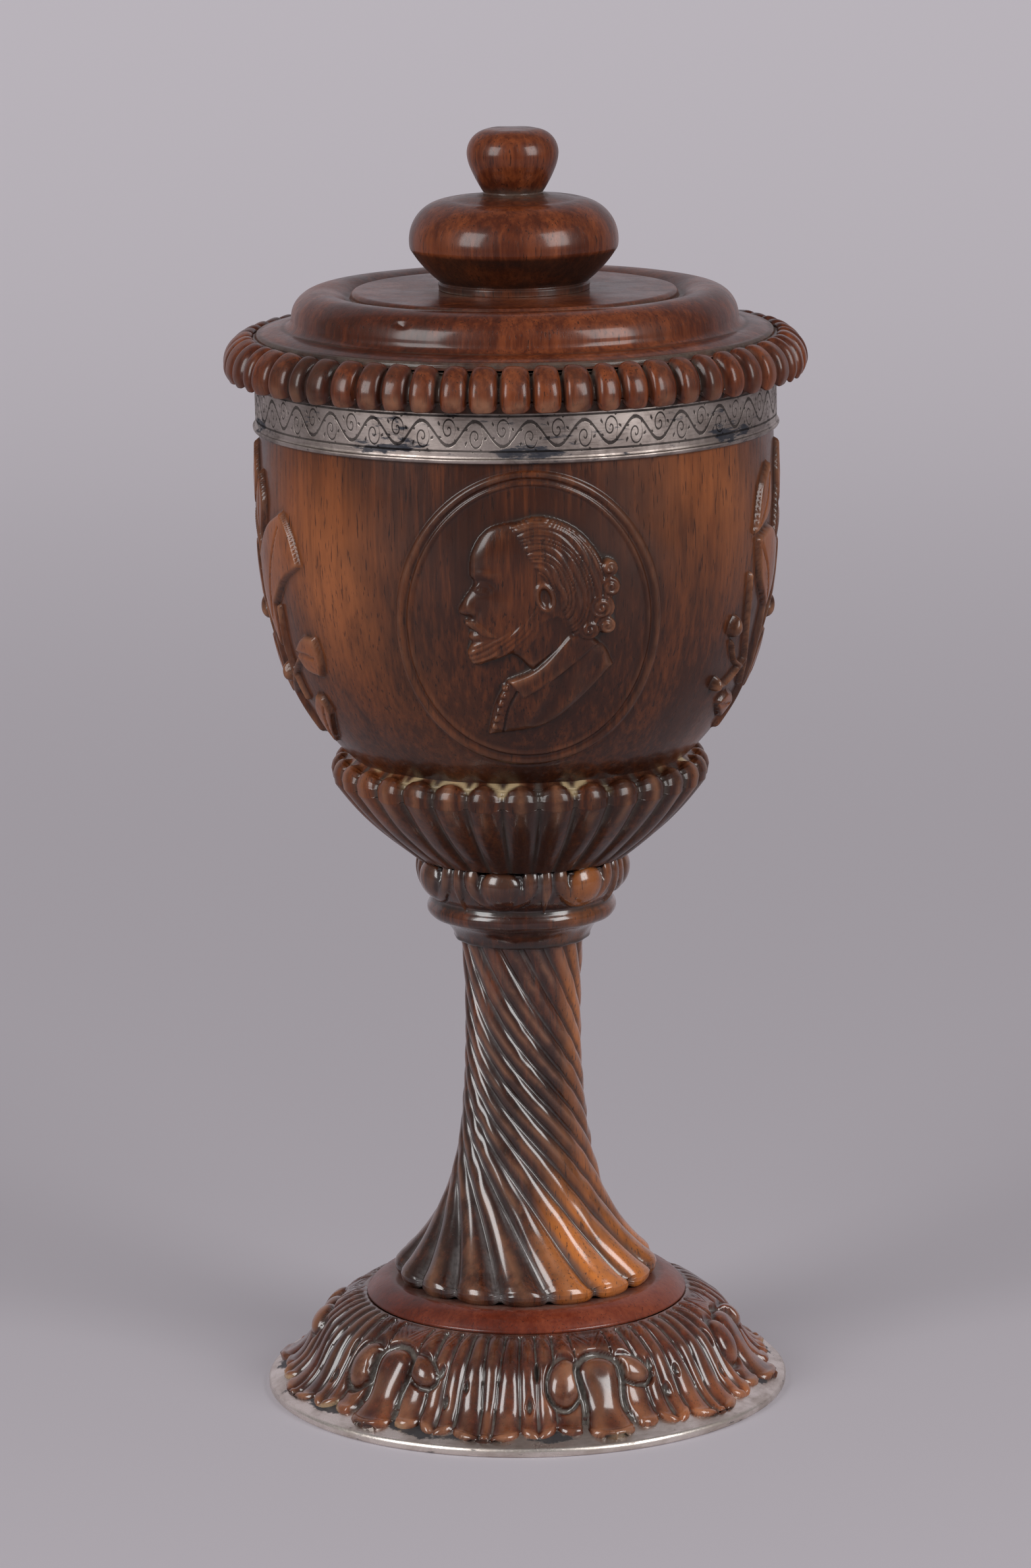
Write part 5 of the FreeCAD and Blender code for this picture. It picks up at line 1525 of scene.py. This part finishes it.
    def build_sides(self, finishes: Finishes) -> None:
        """Carves both sprays and the plain back."""
        def run(first: float, last: float, step: float) -> Grid:
            """Angles from first up to last, without the last."""
            return np.linspace(first, last, max(2, int(round((last - first) / step))), endpoint=False)

        angles = np.concatenate([run(38, 50, 1.4), run(50, 105, 0.36), run(105, 255, 2.0), run(255, 311, 0.36),
                                 run(311, 327, 1.4), [327.0]])
        rows = self.wall_rows(self.wall_foot, BAND_FOOT + 0.3, 0.42)
        skin = Skin(rows, angles, closed=False)
        signed = centred(skin.angle)
        relief = np.zeros_like(skin.radius)
        faces = np.zeros_like(skin.radius)
        for spray in self.sides:
            height, face = spray.relief(signed, skin.height)
            relief, faces = np.maximum(relief, height), np.maximum(faces, face)
        relief = relief * step_up(-skin.height, -BAND_FOOT, -BAND_FOOT + 1.0)
        skin.raise_by(relief)
        skin.mark_carving(3, 3, 0.8)
        skin.raise_by(self.ground(skin))
        self.fade(skin, self.front[1], 360.0 + self.front[0])
        self.tones(skin)
        skin.mark("pale", skin.marks["pale"] + 0.35 * faces)
        skin.mark("amber_and_light", np.maximum(skin.marks["amber_and_light"], 0.45 * faces))
        skin.build("bowl_sides", finishes.bowl, "bowl_wood", ["bowl"])

    def build_inside(self, finishes: Finishes) -> None:
        """Turns the lip under the band and the hollow."""
        outer = self.wall_rows(BAND_FOOT - 0.2, LIP, 1.2)
        inner = self.side(-self.wall, 14).section()
        lip = inner[-1, 0]
        pen = Pen(outer[-1, 0] - 0.6, LIP)
        pen.line(lip + 0.3, LIP, 3)
        cut = outer.copy()
        cut[:, 0] = np.minimum(cut[:, 0] - 0.14, outer[-1, 0])
        hollow = inner[::-1]
        hollow = hollow[hollow[:, 0] > 0.05]
        skin = Skin(np.vstack([cut, pen.section(), hollow]), full_turn(128))
        skin.mark("pale", 0.1 * np.ones_like(skin.radius))
        # Darker all over: painted shade inside the cup.
        skin.mark("hollow", 0.25 * np.ones_like(skin.radius))
        skin.build("bowl_inside", finishes.bowl, "bowl_wood", ["bowl"], fan_last=True)

    def build_calyx(self, finishes: Finishes) -> None:
        """Carves the lobes that hold the bowl."""
        cone_top = self.calyx_widest - 2.2
        levels = np.concatenate([np.linspace(0, cone_top, 54, endpoint=False),
                                 np.linspace(cone_top, self.calyx_height + 0.7, 36)])
        share = np.clip(levels / cone_top, 0, 1)
        crest = self.calyx_foot + (self.calyx_radius - 0.4 - self.calyx_foot) * share + 1.5 * np.sin(np.pi * share)
        above = np.array([[cone_top, self.calyx_radius - 0.4], [self.calyx_widest, self.calyx_radius],
                          [21.0, 41.2], [22.4, 40.6], [23.3, 39.9], [self.calyx_height, 39.1], [24.8, 38.2]])
        crest = np.where(levels <= cone_top, crest, np.interp(levels, above[:, 0], above[:, 1]))
        crest = np.concatenate([[12.0, self.calyx_foot - 0.5], crest])
        levels = np.concatenate([[0.0, 0.0], levels])
        section = np.column_stack([crest, BOWL_SEAT + levels])
        skin = Skin(section, full_turn(self.lobes * 15))
        pitch = 360.0 / self.lobes
        across = centred(skin.angle, pitch) / (pitch / 2)
        share = np.concatenate([[0, 0], np.clip(levels[2:] / cone_top, 0, 1)])[:, None]
        relief = (root(1 - 0.97 * across ** 2) - 1.0) * (0.9 + 1.15 * share)
        end = np.clip((skin.height - BOWL_SEAT - (self.calyx_height - 4.2)) / 4.3, 0, 1.3)
        gap = across ** 2 + end ** 2
        dome = 1.0 - root(1 - gap)
        relief = np.where(end > 0, np.minimum(relief, -dome * 2.1), relief)
        relief[:2] = 0.0
        wave = 0.12 * skin.ripple(61, 32, 0.06, 24)
        wave[:2] = 0.0
        skin.raise_by(relief + wave)
        edge = step_up(np.abs(across), 0.66, 1.0)
        # Darker in the grooves between the lobes: grime and painted shade.
        skin.mark("hollow", edge * 0.95)
        skin.mark("crest", step_up(-np.abs(across), -0.45, 0.0) * step_up(share, 0.5, 1.0) * 0.6)
        front = hump(centred(skin.angle), -14.0, 34.0)
        patch = skin.ripple(63, 20, 0.03, 20)
        high = step_up(skin.height, BOWL_SEAT + 16.5, BOWL_SEAT + 20.0)
        smear = skin.ripple(64, 60, 0.12, 30)
        rim = step_up(gap + 0.3 * smear, 0.86, 1.25) * step_up(end, 0.0, 0.3) * step_up(-gap, -1.9, -1.4)
        skin.mark("wax", rim * step_up(patch + front * 1.2 + 0.6 * smear, 0.5, 1.3) * 0.5
                  + step_up(np.abs(across), 0.93, 0.99) * (1 - high) * 0.16)
        skin.mark("dust", edge * 0.22)
        left = step_up(-skin.right, -0.2, 0.8)
        skin.mark("pale", 0.30 * left + 0.12 * step_up(patch, 0.2, 1.0))
        skin.build("calyx", finishes.bowl, "bowl_wood", ["bowl"])


@dataclass
class RimBand:
    """Silver band round the lip, engraved with a running leaf scroll."""
    bore: float = 55.55
    sheet: float = 0.95
    bead: float = 1.7

    def build(self, finishes: Finishes) -> None:
        """Makes the band with its rolled lower edge."""
        pen = Pen(self.bore, BAND_FOOT)
        pen.line(self.bore + self.bead * 0.5, BAND_FOOT, 3)
        pen.bow(self.bore + self.bead - 0.2, BAND_FOOT + 0.5, 0.16, 6)
        pen.bow(self.bore + self.sheet + 0.2, BAND_FOOT + 1.1, 0.22, 6)
        pen.line(self.bore + self.sheet, BAND_FOOT + 1.5, 3)
        pen.line(self.bore + self.sheet, LIP - 0.55, 22)
        pen.bow(self.bore + self.sheet - 0.3, LIP - 0.3, 0.06, 3)
        pen.line(self.bore, LIP - 0.3, 2)
        skin = Skin(pen.section(), full_turn(264))
        fade = step_up(skin.height, BAND_FOOT + 0.2, BAND_FOOT + 1.2) * step_up(-skin.height, -LIP + 0.3, -LIP + 1.2)
        skin.raise_by(0.10 * skin.ripple(71, 20, 0.08, 22) * fade)
        low = hump(skin.height, BAND_FOOT + 2.6, 1.3)
        patch = skin.ripple(73, 16, 0.05, 18)
        skin.mark("hollow", low * 0.6 * step_up(patch, -0.2, 0.8) + 0.14 * step_up(patch, 0.3, 1.0))
        skin.build("rim_band", finishes.band, "silver", ["rim_mount"])


@dataclass
class Cover:
    """Turned cover: a broad moulded ring and a raised disc inside a border of gadroons."""
    height: float = 18.6
    gadroons: int = 60
    gadroon_radius: float = 63.22
    gadroon_widest: float = 3.2
    gadroon_foot: float = 62.2
    gadroon_height: float = 10.0
    gadroon_inner: float = 56.4
    locator: float = 49.6
    plateau: float = 35.4

    def build(self, finishes: Finishes) -> None:
        """Makes the mouldings, the gadroons and the underside."""
        self.build_mouldings(finishes)
        self.build_gadroons(finishes)
        self.build_underside(finishes)

    def build_mouldings(self, finishes: Finishes) -> None:
        """Turns the shelf, the ring, its groove and the disc."""
        shelf = LIP + self.gadroon_height
        top = LIP + self.height
        pen = Pen(self.gadroon_inner + 1.2, shelf - 1.4)
        pen.line(self.gadroon_inner - 0.3, shelf - 1.1, 3)
        pen.bow(self.gadroon_inner - 0.9, shelf - 0.1, 0.2, 5)
        pen.line(self.gadroon_inner - 1.6, shelf - 0.05, 2)
        pen.bow(50.4, shelf + 0.9, 0.2, 10)
        pen.bow(48.4, shelf + 2.8, -0.55, 10)
        pen.bow(42.0, top + 0.2, 1.9, 22)
        pen.bow(self.plateau + 1.2, top - 1.6, 0.5, 14)
        pen.line(self.plateau + 0.25, top - 1.75, 3)
        pen.line(self.plateau, top - 1.3, 3)
        pen.bow(self.plateau - 1.2, top - 0.02, 0.42, 9)
        pen.line(15.0, top, 8)
        skin = Skin(pen.section(), full_turn(250))
        fade = step_up(skin.radius, 16.5, 20.0)
        skin.raise_by(0.045 * Ripple(81, 8, 0.1).at(skin.angle, skin.height * 2.0) * fade)
        for angle, radius, size in ((-30.0, 47.2, 0.5), (16.5, 47.3, 0.45)):
            across = centred(skin.angle - angle) * np.radians(1.0) * radius
            hole = np.hypot(across, (skin.radius - radius))
            skin.raise_by(-1.4 * fall((hole / size) ** 2) * (skin.height > shelf + 2))
        quirk = hump(skin.radius, self.plateau + 0.7, 0.8)
        corner = hump(skin.radius, 50.2, 0.5)
        under = hump(skin.radius, self.gadroon_inner - 0.5, 0.9)
        # Darker in the quirk, the corner, under the shelf's edge and round the finial's seat: grime and painted shade
        # in the creases.
        skin.mark("hollow", quirk * 0.8 + corner * 0.5 + under * 0.9 + hump(skin.radius, 16.6, 0.6) * 0.8)
        skin.mark("dust", quirk * 0.42 + under * 0.3 + corner * 0.15 + 0.06 * step_up(-skin.radius, -34.5, -20.0)
                  + hump(skin.radius, 17.4, 1.1) * 0.3)
        patch = skin.ripple(83, 4, 0.02, 8)
        skin.mark("pale", 0.16 + 0.2 * patch)
        skin.build("cover_mouldings", finishes.cover, "cover_wood", ["cover"])

    def build_gadroons(self, finishes: Finishes) -> None:
        """Carves the border of rounded lobes."""
        rise = self.gadroon_height - self.gadroon_widest
        reach = self.gadroon_radius - self.gadroon_inner
        pen = Pen(self.gadroon_foot - 3.0, LIP)
        pen.line(self.gadroon_foot - 0.8, LIP, 3)
        pen.bow(self.gadroon_foot + 0.2, LIP + 0.7, 0.28, 5)
        pen.bow(self.gadroon_radius, LIP + self.gadroon_widest, 0.2, 8)
        for k in range(1, 29):
            a = math.radians(90.0 * k / 28)
            pen.line(self.gadroon_inner + reach * math.cos(a), LIP + self.gadroon_widest + rise * math.sin(a), 1)
        pen.line(self.gadroon_inner - 0.7, LIP + self.gadroon_height - 0.9, 3)
        section = pen.section(1)
        skin = Skin(section, full_turn(self.gadroons * 14))
        pitch = 360.0 / self.gadroons
        lean = 0.11 * pitch * Ripple(86, 50, 0.02, 30).at(skin.angle, 0.0)
        across = centred(skin.angle + lean, pitch) / (pitch / 2)
        along = np.concatenate([[0.0], np.cumsum(np.hypot(*np.diff(section, axis=0).T))])[:, None]
        left = along[-1, 0] - 0.9 - along
        half = np.radians(pitch / 2) * 57.5
        end = np.clip(1 - left / (half * 1.05), 0, 1.4)
        foot = np.clip(1 - (along - 2.4) / 1.2, 0, 1.4)
        gap = np.abs(across / 0.9) ** 3.4 + np.abs(end) ** 2.4 + foot ** 2 * 0.3
        dome = root(1 - gap)
        relief = -2.3 * (1 - dome) - 0.28 * across * dome
        relief[:2] = 0.0
        skin.raise_by(relief + 0.07 * skin.ripple(85, 45, 0.06, 26) * (dome > 0))
        edge = step_up(-dome, -0.55, -0.1)
        # Darker in the gaps round the gadroons: grime and painted shade.
        skin.mark("hollow", edge * 0.95)
        crest = step_up(dome, 0.8, 1.0)
        low = step_up(-skin.height, -LIP - 4.5, -LIP - 1.8)
        signed = centred(skin.angle)
        skin.mark("crest", crest * (0.12 + 0.8 * low * hump(signed, -8.0, 50.0)))
        rng = np.random.default_rng(87)
        lobe = np.mod(np.round(skin.angle / pitch), self.gadroons).astype(int)
        skin.mark("pale", 0.10 + 0.3 * rng.uniform(-1, 1, self.gadroons)[lobe])
        skin.mark("dust", edge * (0.12 + 0.5 * step_up(skin.height, LIP + 7.6, LIP + 9.4))
                  + 0.12 * hump(signed, -8.0, 30.0) * low * crest)
        skin.build("cover_gadroons", finishes.cover, "cover_wood", ["cover"])

    def build_underside(self, finishes: Finishes) -> None:
        """Turns the locating ring and the hollow inside it."""
        pen = Pen(0.05, LIP + 9.4)
        pen.bow(self.locator - 3.4, LIP + 1.0, 1.6, 14)
        pen.line(self.locator - 3.4, LIP - 5.0, 4)
        pen.line(self.locator - 0.6, LIP - 5.0, 3)
        pen.line(self.locator, LIP - 4.4, 2)
        pen.line(self.locator, LIP, 4)
        pen.line(self.gadroon_foot - 2.8, LIP, 5)
        skin = Skin(pen.section(), full_turn(200))
        # Darker all over: painted shade under the cover.
        skin.mark("hollow", 0.2 * np.ones_like(skin.radius))
        skin.build("cover_underside", finishes.cover, "cover_wood", ["cover"], fan_first=True)


@dataclass
class Finial:
    """Knob, flattened bun and plinth, turned in one."""
    height: float = 34.6
    plinth: float = 16.4
    bun: float = 22.6
    bun_widest: float = 9.3
    bun_top: float = 20.2
    bun_top_radius: float = 13.6
    collar: float = 8.0
    neck: float = 6.3
    knob: float = 9.9
    knob_widest: float = 29.3
    flat: float = 5.2

    def build(self, finishes: Finishes) -> None:
        """Makes the finial."""
        seat = FINIAL_SEAT
        knob, top = seat + self.knob_widest, seat + self.height
        pen = Pen(self.plinth - 2.0, seat)
        pen.line(self.plinth - 0.1, seat + 0.02, 3)
        pen.line(self.plinth, seat + 1.3, 5)
        pen.line(self.plinth - 0.4, seat + 1.8, 3)
        pen.bow(self.bun - 0.5, seat + self.bun_widest - 0.9, 0.35, 26)
        pen.bow(self.bun, seat + self.bun_widest + 0.3, 0.1, 6)
        pen.bow(self.bun_top_radius, seat + self.bun_top - 0.8, 3.1, 34)
        pen.bow(self.collar, seat + self.bun_top, 0.1, 6)
        pen.bow(self.neck, seat + self.bun_top + 0.6, 0.1, 4)
        pen.bow(9.15, seat + 26.0, 0.15, 12)
        pen.bow(self.knob, knob - 0.4, 0.12, 8)
        pen.bow(self.flat, top - 0.1, 1.5, 18)
        pen.line(0.05, top, 5)
        skin = Skin(pen.section(), full_turn(180))
        fade = step_up(skin.radius, 1.0, 4.0)
        skin.raise_by(0.05 * skin.ripple(91, 5, 0.08) * fade)
        neck = hump(skin.height, seat + self.bun_top + 0.8, 1.0)
        foot = hump(skin.height, seat + 1.9, 0.7)
        low = step_up(-skin.height, -seat - 9.6, -seat - 8.2)
        # Darker under the bun's widest point: painted shade. Darker in the creases at the neck and the plinth: grime
        # and painted shade.
        skin.mark("hollow", neck * 0.8 + foot * 0.8 + low * 0.85)
        skin.mark("dust", neck * 0.25 + hump(skin.height, seat + 0.1, 0.3) * 0.2)
        patch = skin.ripple(93, 3, 0.04, 8)
        skin.mark("pale", 0.1 + 0.15 * patch + 0.1 * step_up(skin.height, seat + 22, seat + 26))
        skin.build("finial_turning", finishes.cover, "cover_wood", ["finial"], fan_last=True)


# ---------------------------------------------------------------- studio

@dataclass
class Studio:
    """Pale floor that sweeps up behind, two soft lamps in front, soft light all round, and the camera."""
    paper: Colour = shade(150, 145, 150)
    glow_near: Colour = shade(86, 82, 87)
    glow_far: Colour = shade(168, 163, 169)
    floor_side: float = 3.5
    floor_back: float = 1.2
    bend: float = 1.0
    wall: float = 3.4
    lamp_power: float = 10.5
    lamp_size: Spot = (0.50, 0.72)
    lamp_turn: float = 50.0
    lamp_rise: float = 25.0
    lamp_reach: float = 1.15
    lamp_aim: float = 0.15
    world: float = 0.22
    aside: float = -0.00106
    distance: float = 1.281
    level: float = 0.405
    tilt: float = 11.86
    roll: float = -0.7
    lens: float = 136.73

    def build(self) -> None:
        """Sets floor, lamps, world and camera."""
        self.build_floor()
        for side in (-1.0, 1.0):
            self.build_lamp(side)
        self.build_world()
        self.build_camera()
        bpy.context.scene.view_settings.view_transform = "Standard"

    def build_floor(self) -> None:
        """Lays a floor that bends up into a wall behind the cup."""
        line = [(-3.0, 0.0), (self.floor_back, 0.0)]
        for k in range(1, 17):
            angle = math.radians(90.0 * k / 16)
            line.append((self.floor_back + self.bend * math.sin(angle), self.bend * (1.0 - math.cos(angle))))
        line.append((self.floor_back + self.bend, self.wall))
        points = [(x, y, z) for y, z in line for x in (-self.floor_side, self.floor_side)]
        faces = [(2 * k, 2 * k + 1, 2 * k + 3, 2 * k + 2) for k in range(len(line) - 1)]
        mesh = bpy.data.meshes.new("floor")
        mesh.from_pydata(points, [], faces)
        mesh.polygons.foreach_set("use_smooth", [True] * len(faces))
        material, tree, shader = start_material("floor paper")
        path = tree.fill(tree.add("ShaderNodeLightPath"))
        tree.fill(shader, Base_Color=self.paper, Roughness=0.85,
                  Emission_Color=tree.blend(tree.parts()["Y"].span(-0.3, 2.2), self.glow_near, self.glow_far),
                  Emission_Strength=path["Is Camera Ray"].step("MAXIMUM", path["Is Glossy Ray"]))
        mesh.materials.append(material)
        floor = bpy.data.objects.new("floor", mesh)
        bpy.context.scene.collection.objects.link(floor)

    def build_lamp(self, side: float) -> None:
        """Hangs one soft box in front of the cup.

        Args:
            side: -1 for the left and 1 for the right.
        """
        data = bpy.data.lights.new("soft_box", "AREA")
        data.shape = "RECTANGLE"
        data.size, data.size_y = self.lamp_size
        data.energy = self.lamp_power
        lamp = bpy.data.objects.new("soft_box", data)
        azimuth, high = math.radians(self.lamp_turn * side), math.radians(self.lamp_rise)
        away = self.lamp_reach * math.cos(high)
        lamp.location = (away * math.sin(azimuth), -away * math.cos(azimuth),
                         self.lamp_aim + self.lamp_reach * math.sin(high))
        lamp.rotation_euler = (math.pi / 2 - high, 0.0, azimuth)
        bpy.context.scene.collection.objects.link(lamp)

    def build_world(self) -> None:
        """Fills the scene with even pale light."""
        world = bpy.data.worlds.new("studio")
        world.use_nodes = True
        back = world.node_tree.nodes["Background"]
        back.inputs["Color"].default_value = (1.0, 0.985, 1.0, 1.0)
        back.inputs["Strength"].default_value = self.world
        bpy.context.scene.world = world

    def build_camera(self) -> None:
        """Sets the camera at the height and angle of the view."""
        data = bpy.data.cameras.new("camera")
        data.lens = self.lens
        data.sensor_width = 36.0
        camera = bpy.data.objects.new("camera", data)
        camera.location = (self.aside, -self.distance, self.level)
        camera.rotation_mode = "XYZ"
        tilt, roll = math.radians(90.0 - self.tilt), math.radians(self.roll)
        camera.rotation_euler = (Matrix.Rotation(tilt, 3, "X") @ Matrix.Rotation(roll, 3, "Z")).to_euler()
        bpy.context.scene.collection.objects.link(camera)
        bpy.context.scene.camera = camera


def main() -> None:
    """Builds every sub-assembly in order and reports each one."""
    logging.basicConfig(level=logging.INFO, format="%(name)s: %(message)s")
    finishes = Finishes.make()
    for part in (FootRing(), Foot(), Stem(), Bowl(), RimBand(), Cover(), Finial()):
        part.build(finishes)
        LOG.info("%s is ready", type(part).__name__)
    Studio().build()
    LOG.info("studio is ready")


if __name__ == "__main__":
    main()
